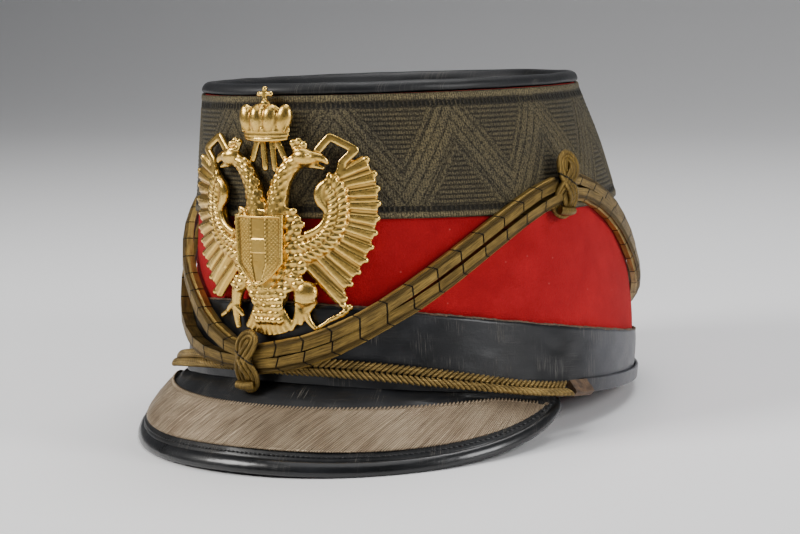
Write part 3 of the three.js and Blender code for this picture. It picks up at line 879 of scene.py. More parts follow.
def make_top():
    rows = len(RIM) + FLOOR_RINGS
    piece = flat_sheet("leather_top", 256, rows - 1)
    flat = points_of(piece)
    angle = TURN * flat[:, 0]
    row = np.rint((flat[:, 1] + 0.5) * (rows - 1)).astype(int)
    profile = np.array(RIM)[np.minimum(row, len(RIM) - 1)]
    inwards = np.clip((row - len(RIM) + 1) / FLOOR_RINGS, 0, 1)
    share = 1 + 0.8 * np.minimum(0, profile[:, 1]) / wall_height(angle)
    places = wall(angle, share, profile[:, 0])
    _, _, middle = oval(1.0)
    places[:, 0] *= 1 - inwards
    places[:, 1] += (middle - places[:, 1]) * inwards
    bumps = 0.3 * waves(places[:, 0], places[:, 1], 7, 22) * np.clip(profile[:, 1] > 0, 0, 1)
    places[:, 2] = top_plane(places[:, 1]) + profile[:, 1] + bumps
    write_uv(piece, places[:, 0], places[:, 1])
    put(piece, stand(places))
    close_seams(piece, recalculate=False)
    thicken(piece, 1.3)
    finished(piece, top_leather, "patent_leather", "top_crown")


# ---------------------------------------------------------------- peak


def peak_swell(across):
    return (1 - np.abs(across) ** 2.68) ** 0.7


def peak_face(across, share):
    angle = across * PEAK_HALF_ANGLE
    places = wall(angle, np.zeros_like(angle), BAND_FACE + 0.3)
    way = np.stack([PEAK_SPREAD * np.sin(angle), -np.cos(angle)], 1)
    way /= np.linalg.norm(way, axis=1, keepdims=True)
    swell = peak_swell(across)
    places[:, :2] += way * (PEAK_REACH * swell * share * (1.15 - 0.15 * share))[:, None]
    places[:, 2] += PEAK_START - PEAK_DROP * swell * share * (0.65 + 0.35 * share)
    return places


def peak_frame(across, share):
    """Directions down the peak's slope and out of its face."""
    step = 0.002
    side = peak_face(across + step, share) - peak_face(across - step, share)
    down = peak_face(across, share + step) - peak_face(across, share - step)
    out = np.cross(down, side)
    out /= np.linalg.norm(out, axis=1, keepdims=True)
    down /= np.linalg.norm(down, axis=1, keepdims=True)
    return down, out


def peak_place(across, share, lift):
    _, out = peak_frame(across, share)
    return peak_face(across, share) + out * np.broadcast_to(lift, across.shape)[:, None]


def from_edge(across, distance):
    return 1 - distance / (PEAK_SLOPE * peak_swell(across))


def peak_sheet(name, columns, rows, half, near, far, lift):
    piece = flat_sheet(name, columns, rows)
    flat = points_of(piece)
    across = flat[:, 0] * 2 * half
    inner = near(across)
    share = inner + (far(across) - inner) * (0.5 - flat[:, 1])
    u = across * 132
    v = (1 - share) * PEAK_SLOPE * peak_swell(across)
    write_uv(piece, u, v)
    put(piece, stand(peak_place(across, share, lift(u, v))))
    return piece


def lace_inner(across):
    return 0.365 - 0.37 * across ** 2 + 6.5 * np.maximum(0, np.abs(across) - 0.7) ** 1.8


def make_peak():
    piece = peak_sheet(
        "peak_leather",
        160,
        28,
        0.95,
        lambda a: -0.6 / (PEAK_SLOPE * peak_swell(a)),
        lambda a: from_edge(a, PEAK_LEATHER_TO_EDGE),
        lambda u, v: 0.15 * waves(u, v, 9, 14),
    )
    thicken(piece, PEAK_THICK)
    finished(piece, peak_black, "black_leather", "peak")


def make_peak_lace():
    rounded = lambda a: 1.9 * np.maximum(0, np.abs(a) / 0.905 - 0.9) ** 1.5
    piece = peak_sheet(
        "bullion_lace",
        420,
        26,
        0.9,
        lambda a: lace_inner(a) + rounded(a),
        lambda a: from_edge(a, PEAK_LACE_TO_EDGE),
        lambda u, v: 0.95 + 0.22 * waves(u - v * 0.95, v * 0.08, 21, 1.6) + 0.1 * waves(u, v, 22, 12),
    )
    thicken(piece, 0.85)
    finished(piece, bullion, "bullion_lace", "peak_lace")


def row_on_peak(name, model, places, share_at, lift, lean, material, slot):
    """Copies of one flat stitch, in a row along the peak."""
    flat = points_of(model)
    shares = share_at(places)
    down, out = peak_frame(places, shares)
    origin = peak_place(places, shares, lift)
    side = np.cross(out, down)
    turned = math.radians(lean)
    x = flat[:, 0] * math.cos(turned) - flat[:, 1] * math.sin(turned)
    y = flat[:, 0] * math.sin(turned) + flat[:, 1] * math.cos(turned)
    copies = []
    for i in range(len(places)):
        copy = copy_of(model, Matrix.Identity(4))
        laid = origin[i] + side[i] * x[:, None] - down[i] * y[:, None] + out[i] * flat[:, 2][:, None]
        put(copy, stand(laid))
        copies.append(copy)
    piece = joined(name, copies)
    finished(piece, material, slot)


def make_peak_stitches():
    stitch = ellipsoid("stitch", 10, 6, (1.0, 0.375, 0.4))
    places = np.linspace(-0.865, 0.865, 150)
    share_at = lambda a: lace_inner(a) - 0.005
    row_on_peak("lace_stitches", stitch, places, share_at, 1.0, 62, bullion, "bullion_lace")
    drop(stitch)
    stitch = ellipsoid("stitch", 10, 6, (0.8, 0.275, 0.25))
    places = np.linspace(-0.93, 0.93, 130)
    share_at = lambda a: from_edge(a, RIM_STITCHES_TO_EDGE)
    row_on_peak("rim_stitches", stitch, places, share_at, 0.45, 12, patent, "patent_leather")
    drop(stitch)


def make_binding():
    piece = flat_sheet("rolled_binding", 220, 18)
    flat = points_of(piece)
    across = flat[:, 0] * 2 * BINDING_HALF
    turn = -TURN * flat[:, 1]
    share = from_edge(across, BINDING_WIDTH / 2)
    down, out = peak_frame(across, share)
    middle = peak_place(across, share, -PEAK_THICK / 2)
    closing = np.sqrt(np.clip((BINDING_HALF - np.abs(across)) / 0.012, 0, 1))
    u = across * 140
    dent = 1 + 0.035 * waves(u, turn * 4, 31, 5)
    places = middle + down * (np.cos(turn) * BINDING_WIDTH / 2 * closing * dent)[:, None]
    places += out * (np.sin(turn) * BINDING_THICK / 2 * closing * dent)[:, None]
    write_uv(piece, u, turn * 2)
    put(piece, stand(places))
    close_seams(piece)
    finished(piece, patent, "patent_leather", "peak_binding")


# ---------------------------------------------------------------- cords


class Route:
    """A line laid on the wall. Rows are angle in degrees, share of the height, distance out and roll."""

    def __init__(self, rows, start, end):
        rows = [(*row, 0)[:4] for row in rows]
        angle = np.linspace(start, end, 500)
        share, away, roll = (curve_through([(row[0], row[i]) for row in rows])(angle) for i in (1, 2, 3))
        self.points = wall(np.radians(angle), share, away)
        along = np.gradient(self.points, axis=0)
        self.along = along / np.linalg.norm(along, axis=1, keepdims=True)
        across, forwards = outwards(np.radians(angle), share)
        out = np.stack([across, forwards, np.zeros_like(across)], 1)
        up = np.cross(out, self.along)
        up /= np.linalg.norm(up, axis=1, keepdims=True)
        out = np.cross(self.along, up)
        cosine = np.cos(np.radians(roll))[:, None]
        sine = np.sin(np.radians(roll))[:, None]
        self.out = out * cosine + up * sine
        self.up = up * cosine - out * sine
        steps = np.linalg.norm(np.diff(self.points, axis=0), axis=1)
        self.distance = np.concatenate([[0], np.cumsum(steps)])
        self.length = self.distance[-1]

    def lay(self, piece):
        """Bends a flat piece along the line: X goes along it, Y up the wall and Z out of it."""
        flat = points_of(piece)
        at = [
            np.stack([np.interp(flat[:, 0], self.distance, part[:, i]) for i in range(3)], 1)
            for part in (self.points, self.up, self.out, self.along)
        ]
        beyond = flat[:, 0] - np.clip(flat[:, 0], 0, self.length)
        places = at[0] + at[1] * flat[:, 1:2] + at[2] * flat[:, 2:3] + at[3] * beyond[:, None]
        put(piece, stand(places))


CORD_WIDE = 5.2
CORD_DEEP = 4.3


def make_festoon(name, route, ridge, slant, widths, node):
    """One cord of the festoon: short lengths end to end, each with a broad face and a bevelled one.

    ridge is +1 if the narrow face is above and -1 if it is below; slant leans the joints;
    widths are its shares of the full width at its two ends.
    """
    count = max(2, round(route.length / CORD_PITCH))
    pitch = route.length / count
    piece = box(name, (pitch - 0.3, CORD_WIDE, CORD_DEEP), (pitch / 2, 0, 0))
    edge = CORD_WIDE / 2 * ridge
    bevel_edges(piece, lambda at: abs(at.y - edge) < 0.01 and abs(at.z - CORD_DEEP / 2) < 0.01, 2.1)
    soften(piece, 0.3, 25, 2)
    repeat_along(piece, count, pitch)
    core = box("core", (route.length - 0.6, CORD_WIDE - 1.4, CORD_DEEP - 1.2), (route.length / 2, 0, -0.1))
    subdivide(core, 5)
    piece = joined(name, [piece, core])
    flat = points_of(piece)
    write_uv(piece, flat[:, 0] * CORD_PITCH / pitch + 1, flat[:, 1] * ridge - flat[:, 2] * 0.35)
    turning = np.maximum(0, flat[:, 1] * ridge - 0.7) * ridge
    lean = slant * (0.5 * flat[:, 1] - 1.5 * turning)
    inside = np.clip(np.minimum(flat[:, 0], route.length - flat[:, 0]) / 6, 0, 1)
    flat[:, 0] += lean * inside
    slim = widths[0] + (widths[1] - widths[0]) * flat[:, 0] / route.length
    flat[:, 1] = flat[:, 1] * slim - (0.4 + CORD_WIDE * (1 - slim) / 2) * ridge
    flat[:, 2] = flat[:, 2] * slim - 0.6
    put(piece, flat)
    route.lay(piece)
    finished(piece, festoon_gold, "gold_cord", node)
    modify(piece, "WEIGHTED_NORMAL", weight=90)


UPPER_RIGHT = [
    (-90, 0.72, 4), (-75, 0.69, 4), (-70, 0.67, 3.8), (-57, 0.577, 3.8), (-46, 0.477, 3.8),
    (-37, 0.382, 3.8), (-28, 0.298, 4.2), (-18, 0.2, 5.4), (-8, 0.131, 6.1), (0, 0.115, 6.1),
]
LOWER_RIGHT = [
    (-90, 0.69, 4), (-75, 0.62, 4), (-70, 0.57, 3.8), (-60, 0.45, 3.8), (-50, 0.32, 3.8),
    (-40, 0.208, 3.8), (-30, 0.14, 4.6), (-20, 0.098, 6), (-8, 0.072, 6.1), (0, 0.068, 6.1),
]
UPPER_LEFT = [
    (-4, 0.115, 6.1), (0, 0.127, 6.1), (9, 0.157, 6.1), (18, 0.21, 5.6), (27, 0.284, 4.4),
    (37, 0.383, 3.8), (46, 0.474, 3.8), (57, 0.577, 3.8), (70, 0.671, 3.8), (75, 0.694, 4),
    (90, 0.72, 4),
]
LOWER_LEFT = [
    (-4, 0.06, 6.1), (0, 0.065, 6.1), (9, 0.092, 6.1), (18, 0.145, 5.6), (27, 0.221, 4.4),
    (37, 0.309, 3.8), (46, 0.4, 3.8), (57, 0.507, 3.8), (70, 0.605, 3.8), (75, 0.63, 4), (90, 0.66, 4),
]
UPPER_REAR = [
    (80, 0.715), (86, 0.71), (94, 0.678), (102, 0.628), (110, 0.553), (120, 0.45), (135, 0.335),
    (150, 0.262), (165, 0.222), (180, 0.21),
]
LOWER_REAR = [
    (80, 0.655), (86, 0.648), (94, 0.612), (102, 0.55), (110, 0.463), (120, 0.36), (135, 0.255),
    (150, 0.187), (165, 0.15), (180, 0.138),
]
CHIN_HALF = [
    (0, 0.074, 2.2, 0), (20, 0.074, 2.3, 0), (31, 0.068, 2.9, 8), (40, 0.06, 3.8, 20),
    (49, 0.05, 4.9, 32), (59, 0.036, 5.9, 42), (67, 0.03, 6.2, 44), (80, 0.03, 6.2, 44),
]


def both_halves(half):
    rows = [(angle, share, 3.1) for angle, share in half]
    return rows + [(360 - angle, share, out) for angle, share, out in reversed(rows[:-1])]


def make_festoons():
    side = SIDE_KNOT - 2
    rear = SIDE_KNOT + 2
    left = FRONT_KNOT + 1
    right = FRONT_KNOT - 1
    rear_upper = both_halves(UPPER_REAR)
    rear_lower = both_halves(LOWER_REAR)
    at_right = (-side, right, -1, (0.86, 1.06))
    at_left = (left, side, 1, (1.06, 0.86))
    at_rear = (rear, 360 - rear, 1, (0.9, 0.9))
    runs = [
        ("right", UPPER_RIGHT, LOWER_RIGHT, *at_right),
        ("left", UPPER_LEFT, LOWER_LEFT, *at_left),
        ("rear", rear_upper, rear_lower, *at_rear),
    ]
    for where, upper, lower, start, end, slant, widths in runs:
        for level, rows, ridge in (("upper", upper, 1), ("lower", lower, -1)):
            name = f"festoon_{where}_{level}"
            make_festoon(name, Route(rows, start, end), ridge, slant, widths, f"festoon_{level}_{where}")


def make_chin_braid():
    mirrored = [(-row[0], *row[1:]) for row in reversed(CHIN_HALF[1:])]
    rows = mirrored + CHIN_HALF
    route = Route(rows, -CHIN_BRAID_END, CHIN_BRAID_END)
    count = int(route.length / CHIN_BRAID_PITCH) - 1
    strands = []
    for sign in (1, -1):
        strand = ellipsoid("strand", 10, 8, (2.8, 0.75, 1.15), (2.6, 1.65 * sign, 0), 38 * sign)
        repeat_along(strand, count, CHIN_BRAID_PITCH)
        strands.append(strand)
    piece = joined("chin_braid", strands)
    flat = points_of(piece)
    write_uv(piece, flat[:, 0] * 0.7 + np.abs(flat[:, 1]), flat[:, 1])
    route.lay(piece)
    finished(piece, braid_gold, "gold_cord", "chin_cord")
    near, far = CHIN_CAPS
    for side, start, end in (("left", near, far), ("right", -far, -near)):
        route = Route(rows, start, end)
        cap = box("chin_end_" + side, (route.length, 5.6, 2.6), (route.length / 2, 0, 0))
        subdivide(cap, 3)
        soften(cap, 0.8, 40, 3)
        flat = points_of(cap)
        write_uv(cap, flat[:, 0], flat[:, 1])
        flat[:, 2] += 0.25 * waves(flat[:, 0], flat[:, 1], 12, 3)
        put(cap, flat)
        route.lay(cap)
        finished(cap, tan, "tan_leather", "chin_cord_end_" + side)


# ---------------------------------------------------------------- tubes and beads


def tube(name, points, radii, flatten=1.0, closed=False, resolution=2):
    """A tube through points in millimetres, with a radius at each."""
    curve = bpy.data.curves.new(name, "CURVE")
    curve.dimensions = "3D"
    curve.bevel_depth = 1
    curve.bevel_resolution = resolution
    curve.resolution_u = 6
    curve.use_fill_caps = True
    spline = curve.splines.new("NURBS")
    spline.points.add(len(points) - 1)
    radii = np.broadcast_to(radii, len(points))
    for point, place, radius in zip(spline.points, points, radii):
        point.co = (place[0], place[1], place[2] / flatten, 1)
        point.radius = radius
    spline.order_u = 4 if len(points) > 3 else 3
    spline.use_endpoint_u = not closed
    spline.use_cyclic_u = closed
    piece = bpy.data.objects.new(name, curve)
    bpy.context.collection.objects.link(piece)
    only(piece)
    bpy.ops.object.convert(target="MESH")
    piece.scale = (1, 1, flatten)
    bpy.ops.object.transform_apply(scale=True)
    return piece


KNOT_PATH = [
    (-3, -9, 1.5), (-4.4, -5, 3), (-2, 0, 5.5), (2.5, 5, 6), (3.5, 9, 4), (0, 11, 3), (-3.8, 8, 3.5),
    (-3, 3, 4.6), (1, -2, 6.2), (4, -6, 4.5), (3.2, -9.5, 3), (0, -11, 2.5),
]


def make_knot(name, angle, share, out, wide, deep, tall, node):
    """Three cords side by side in a looped figure, over a rolled end, standing on the wall."""
    path = np.array(KNOT_PATH, float)
    path[:, 0] *= wide / 11.4
    path[:, 1] *= (tall - 2.4) / 22.0
    path[:, 2] = (path[:, 2] - 3.6) * deep / 7.4
    ahead = np.roll(path, -1, 0) - np.roll(path, 1, 0)
    sideways = np.stack([-ahead[:, 1], ahead[:, 0], np.zeros(len(path))], 1)
    sideways /= np.linalg.norm(sideways, axis=1, keepdims=True)
    strands = [tube("strand", path + sideways * shift, 0.95, closed=True) for shift in (-1.9, 0, 1.9)]
    heart = ellipsoid("heart", 24, 16, (wide * 0.22, tall * 0.36, deep * 0.18))
    reach = wide * 0.36
    rolled = [(-reach, -tall * 0.40, 0.6), (0, -tall * 0.43, 1.6), (reach, -tall * 0.40, 0.6)]
    roll = tube("roll", rolled, 1.7)
    piece = joined(name, [*strands, heart, roll])
    flat = points_of(piece)
    write_uv(piece, flat[:, 1] + flat[:, 0] * 0.5, flat[:, 0] - flat[:, 1] * 0.3)
    turn = math.radians(angle)
    middle = wall(np.array([turn]), np.array([share]), np.array([out]))[0]
    right = np.array([math.cos(turn), math.sin(turn), 0])
    forwards = np.array([math.sin(turn), -math.cos(turn), 0])
    up = np.array([0, 0, 1.0])
    put(piece, stand(middle + flat[:, 0:1] * right + flat[:, 1:2] * up + flat[:, 2:3] * forwards))
    finished(piece, knot_gold, "gold_cord", node)


def make_knots():
    make_knot("knot_front", FRONT_KNOT, 0.086, 7.4, 10.2, 8.0, 21.5, "front_knot")
    make_knot("knot_left", SIDE_KNOT, 0.69, 5.4, 10.6, 8.6, 24.5, "side_knot_left")
    make_knot("knot_right", -SIDE_KNOT, 0.69, 5.4, 10.6, 8.6, 24.5, "side_knot_right")


# ---------------------------------------------------------------- eagle plate


def bow(piece):
    """Bends a flat plate round the hat's front: X goes round, Y is its height and Z stands out."""
    x, y, z = points_of(piece).T
    turn = x / PLATE_RADIUS
    radius = PLATE_RADIUS + z
    front = FRONT_REACH + FRONT_LEAN * y / FRONT_HEIGHT + PLATE_STANDOFF
    put(piece, stand(np.stack([radius * np.sin(turn), PLATE_RADIUS - front - radius * np.cos(turn), y], 1)))


class Relief:
    """A flat relief in millimetres, built up of beads, bars and cords and then fused into one.

    While side is -1, what is added is mirrored in the plate's middle.
    """

    def __init__(self):
        self.parts = []
        self.side = 1
        self.ball = ellipsoid("ball", 16, 10, (1, 1, 1))
        self.block = box("block", (2, 2, 2))
        soften(self.block, 450, 40, 3)

    def across(self, x):
        return PLATE_MIDDLE + self.side * (x - PLATE_MIDDLE)

    def place(self, model, at, half, turn, tip=0.0):
        spin = Matrix.Rotation(math.radians(turn), 4, "Z") @ Matrix.Rotation(math.radians(tip), 4, "X")
        self.parts.append(copy_of(model, Matrix.Translation(at) @ spin @ Matrix.Diagonal((*half, 1))))

    def bead(self, x, y, z, wide, tall, deep, turn=0.0, tip=0.0):
        self.place(self.ball, (self.across(x), y, z), (wide, tall, deep), self.side * turn, tip)

    def beads(self, places, *size):
        for x, y in places:
            self.bead(x, y, *size)

    def bar(self, start, end, width, deep, z=1.2):
        start = Vector((self.across(start[0]), start[1]))
        end = Vector((self.across(end[0]), end[1]))
        middle = (start + end) / 2
        ahead = end - start
        turn = math.degrees(math.atan2(ahead.y, ahead.x))
        half = (ahead.length / 2 + width / 3, width / 2, deep / 2)
        self.place(self.block, (middle.x, middle.y, z), half, turn)

    def cord(self, points, radii, flatten=1.0):
        points = [(self.across(x), y, z) for x, y, z in points]
        self.parts.append(tube("cord", points, radii, flatten, resolution=3))

    def line(self, places, z, radii, flatten=1.0):
        """A cord through flat places, all at one height."""
        self.cord([(x, y, z) for x, y in places], radii, flatten)

    def fuse(self, name, voxel):
        drop(self.ball, self.block)
        piece = joined(name, self.parts)
        modify(piece, "REMESH", mode="VOXEL", voxel_size=voxel)
        modify(piece, "SMOOTH", factor=0.4, iterations=1)
        flat = points_of(piece)
        flat[:, 2] = np.maximum(flat[:, 2], 0.15)
        put(piece, flat)
        return piece


FEATHER_TIPS = [
    (37.5, 80.6), (39.9, 75.6), (40.8, 70.4), (40.9, 65.2), (40.4, 60), (39.4, 54.8), (37.9, 49.8),
    (35.8, 45.2), (33.2, 41), (30.4, 36.8), (28.4, 31.6),
]
FEATHER_ROOTS = [
    (27.4, 75.4), (28.8, 72.4), (29.4, 69), (29.4, 65.2), (29.1, 61.4), (28.4, 57.8), (27.2, 54.4),
    (25.4, 51.4), (23, 48.8), (20.4, 46.6), (16.4, 43.4),
]
COVERT_LINE = [(24.2, 74.4), (27.2, 72), (28.6, 66.5), (28.2, 60), (25.8, 54), (21.4, 49.6), (15.6, 46.4)]
INNER_LINE = [(22.6, 72.2), (24.6, 69.6), (25.4, 65), (24.8, 59.4), (22.2, 54.6), (18, 51.4), (14.6, 50.2)]


WING_SCROLL = [
    (25.5, 74.2), (21.8, 72.4), (20.2, 68.8), (21.4, 65.2), (23.8, 63.4), (22.9, 59.4), (20.2, 56),
    (15.6, 54.2),
]
NECK = [(4.4, 58), (5.0, 64), (6.0, 70), (8.4, 75.6), (12, 79.8), (16, 81.4)]
RIBBON = [(19.6, 83.4), (24.4, 88.9), (33.2, 84.6), (28.6, 80.2), (27.6, 76.0)]
LEG_FEATHERS = [(11.2, 39.2), (13.6, 38.2), (12.2, 36.6), (15.2, 36), (13.4, 34.4)]
ORB_CLAWS = [
    [(12, 32), (13.6, 27.6), (11.2, 23.4), (9.6, 20.4)],
    [(16.8, 30), (14, 26.8), (16.2, 23.4), (18.8, 21.2)],
    [(18.4, 31.5), (16.4, 27.6), (13.2, 25.4), (12, 24)],
    [(13, 28), (13.6, 25.6), (13.4, 24), (13.2, 22.4)],
]
# Where each of the crown's four ribbons starts and ends.
CROWN_RIBBONS = [
    ((-2.6, 87), (-4.8, 80.4)), ((-0.2, 87), (0.6, 77.4)), ((3.4, 87), (4.6, 77.0)), ((5.6, 87), (8.6, 80.6)),
]


def along(line, count):
    """Evenly spaced places along a line of points, with the direction at each."""
    line = np.array(line, float)
    steps = np.linalg.norm(np.diff(line, axis=0), axis=1)
    distance = np.concatenate([[0], np.cumsum(steps)])
    at = np.linspace(0, distance[-1], count)
    smooth = [curve_through(list(zip(distance, line[:, i])))(at) for i in range(line.shape[1])]
    places = np.stack(smooth, 1)
    ahead = np.gradient(places, axis=0)
    return places, np.degrees(np.arctan2(ahead[:, 1], ahead[:, 0]))


def add_wing(relief):
    tips = np.array(FEATHER_TIPS, float)
    roots = np.array(FEATHER_ROOTS, float)
    for i, (tip, root) in enumerate(zip(tips, roots)):
        ahead = (tip - root) / np.linalg.norm(tip - root)
        side = np.array([-ahead[1], ahead[0]])
        lift = 1.25 + 0.35 * (i % 2)
        line = [root - ahead * 2, root * 0.6 + tip * 0.4, root * 0.2 + tip * 0.8, tip - ahead * 0.4]
        relief.line(line, lift, (1.9, 2.45, 2.8, 2.45), 0.42)
        for shift in (-1.35, -0.15, 1.1):
            rib = [place + side * shift * share for place, share in zip(line, np.linspace(0.55, 1, 4))]
            relief.line(rib, lift + 0.95, (0.28, 0.42, 0.5, 0.36))
        relief.bead(*(tip - ahead * 0.2 + side * 0.9), lift + 0.5, 1.25, 1.25, 1.0)
        turn = math.degrees(math.atan2(ahead[1], ahead[0])) + 55
        for share in (0.45, 0.6, 0.75, 0.88):
            spot = root * (1 - share) + tip * share - side * 0.7
            relief.bead(*spot, lift + 0.85, 1.0, 0.28, 0.45, turn)
    for i in range(len(tips) * 2 - 1):
        tip = (tips[i // 2] + tips[(i + 1) // 2]) / 2
        root = (roots[i // 2] + roots[(i + 1) // 2]) / 2
        relief.line([root, (root + tip) / 2, root * 0.07 + tip * 0.93], 1.0, (2.4, 2.9, 2.9), 0.33)
    coverts = ((COVERT_LINE, 17, (2.75, 2.5, 1.2, 1.35), 58), (INNER_LINE, 15, (3.0, 2.1, 1.05, 1.4), 52))
    for line, count, size, lean in coverts:
        for place, turn in zip(*along(line, count)):
            relief.bead(*place, *size, turn - lean)
    relief.line(INNER_LINE, 1.2, 3.2, 0.6)
    relief.line(COVERT_LINE, 1.6, 2.6, 0.6)
    relief.line(WING_SCROLL, 2.6, (1.3, 1.9, 2.2, 1.9, 1.2, 1.2, 1.3, 1.6), 0.9)
    relief.bead(22.6, 68.3, 2.2, 2.5, 3.2, 1.5)


def add_neck(relief):
    relief.line(NECK, 2.2, (4.6, 4.2, 3.7, 3.2, 2.9, 2.6), 0.8)
    places, turns = along(NECK, 15)
    for i, (place, turn) in enumerate(zip(places[:-2], turns[:-2])):
        wide = 3.6 - 1.6 * i / 13
        normal = np.array([-math.sin(math.radians(turn)), math.cos(math.radians(turn))])
        for shift in (-0.95, -0.32, 0.32, 0.95) if i % 2 else (-0.64, 0, 0.64):
            high = 2.32 + 2.7 * math.sqrt(1 - shift * shift * 0.9) * (1 - 0.02 * i)
            relief.bead(*(place + normal * shift * wide), high, 1.6, 1.05, 0.75, turn)


def add_head(relief):
    """The skull, brow, eye, beak, small coronet and ribbon."""
    relief.bead(16.0, 81.6, 3.2, 4.6, 3.2, 2.9, -4)
    relief.bead(15.2, 83.6, 3.7, 3.4, 1.3, 1.9, -8)
    relief.bead(17.8, 82.2, 5.7, 0.8, 0.6, 0.6)
    upper_beak = [(18, 82, 3.2), (21.5, 81.9, 3.2), (23.6, 80.7, 3), (23.6, 79.2, 2.8)]
    relief.cord(upper_beak, (2.0, 1.7, 1.25, 0.6), 0.9)
    relief.line([(16.5, 79.4), (20, 78.6), (22.6, 77.9)], 2.6, (1.5, 1.15, 0.6))
    relief.cord([(11.6, 84.9, 3), (13.4, 85.2, 3.4), (15.6, 84.6, 3)], 1.0)
    relief.beads([(11.9, 86.6), (13.9, 87.2), (15.8, 86.0)], 3.2, 1.3, 1.35, 1.3)
    for start, end in zip(RIBBON[:-1], RIBBON[1:]):
        relief.bar(start, end, 2.8, 2.0, 1.5)


def add_breast_scales(relief):
    dice = np.random.default_rng(41)
    for row in range(16):
        y = 62.4 - row * 2.3
        reach = 12.8 + 1.8 * math.sin((62 - y) / 22 * math.pi) if y > 40 else 12.8 - (40 - y) * 0.72
        x = (8.0 if y > 44 else max(0.0, (y - 34) * 0.55)) + 1.25 * (row % 2)
        while x <= reach:
            high = 1.9 + 1.6 * math.sqrt(max(0.05, 1 - (x / 15) ** 2))
            for sign in (1, -1):
                shift, swing, size = dice.uniform(-1, 1, 3)
                spot = (PLATE_MIDDLE + sign * x + 0.35 * shift, y + 0.3 * swing, high + 0.1 * size)
                turn = sign * (30 + 30 * shift)
                relief.bead(*spot, 1.7 + 0.2 * size, 1.4 + 0.15 * swing, 0.95, turn, 20)
            x += 2.5


def add_body(relief):
    middle = PLATE_MIDDLE
    relief.bead(middle, 50, 1.2, 14.6, 13.5, 3.0)
    relief.bead(middle, 36, 1.4, 8.6, 9.5, 3.0)
    add_breast_scales(relief)
    for k in range(-4, 5):
        top = middle + k * 1.05
        foot = middle + k * 2.3
        feather = [(top, 31, 2.6), (top * 0.7 + foot * 0.3, 25, 2.4), (foot, 18.4 + 0.16 * k * k, 1.6)]
        relief.cord(feather, (1.3, 1.4, 1.75), 0.7)
    for row in range(4):
        for k in range(-2, 3):
            x = middle + (k + 0.5 * (row % 2) - 0.25) * 2.3
            relief.bead(x, 30.5 - row * 2.3, 3.5, 1.5, 1.15, 0.9, 25 * k, 20)
    for start, end in CROWN_RIBBONS:
        relief.bar(start, end, 2.2, 1.6, 2.0)


def add_orb(relief):
    """The orb, its four bands and the claws that hold it."""
    x, y = 15.4, 33.6
    relief.bead(x, y, 2.4, 4.4, 4.9, 2.9, -15)
    for shift in (-2.4, -0.8, 0.8, 2.4):
        band = [(x - 3.6, y + shift, 3.6), (x, y + shift * 1.1 - 0.6, 5.2), (x + 3.6, y + shift, 3.6)]
        relief.cord(band, 0.42)
    for claw in ORB_CLAWS:
        relief.line(claw, 2.0, (1.5, 1.6, 1.2, 0.9), 0.85)


def add_sword_claws(relief):
    shank = [(-12.6, 34, 2.2), (-14, 29, 2.2), (-14.2, 24.6, 2), (-13, 20, 1.8)]
    relief.cord(shank, (2.6, 2.1, 1.5, 1.2), 0.85)
    relief.cord([(-14, 29, 2.4), (-17, 27.6, 2.4), (-18.6, 25.6, 2)], (1.6, 1.3, 0.9))
    relief.cord([(-13.6, 28, 2.4), (-11.4, 26.6, 2.4), (-10.4, 24.4, 2)], (1.5, 1.2, 0.8))
    relief.bar((-22.8, 23.8), (-14.6, 28.4), 1.7, 1.6, 1.6)


def add_legs(relief):
    for side in (1, -1):
        relief.side = side
        relief.cord([(9.6, 40, 1.8), (12.6, 37, 2.4), (14.4, 33.6, 2.2)], (3.2, 3.4, 2.2), 0.7)
        relief.beads(LEG_FEATHERS, 3.9, 1.5, 1.3, 0.9)
    relief.side = 1
    add_orb(relief)
    add_sword_claws(relief)
    relief.bar((18.6, 21.2), (25.4, 25.6), 1.2, 1.4, 1.3)
    relief.bar((22.8, 24.2), (29.6, 27.6), 1.7, 1.4, 1.3)
    relief.beads([(28.2, 30.2), (30.6, 29.4), (29.2, 28), (27.8, 26.8)], 1.6, 1.25, 1.25, 1.1)
    relief.bar((20, 37), (28, 31.2), 1.4, 1.2, 1.0)
    relief.bar((-13, 41.5), (-12, 36), 1.4, 1.2, 1.0)


def make_eagle():
    relief = Relief()
    for side in (1, -1):
        relief.side = side
        add_wing(relief)
        add_neck(relief)
        add_head(relief)
    relief.side = 1
    add_body(relief)
    add_legs(relief)
    piece = relief.fuse("gilt_eagle", EAGLE_VOXEL)
    bow(piece)
    finished(piece, gilt, "gilt_brass", "eagle_plate")


SHIELD_FOOT = 35.8
SHIELD_TOP = 61.2


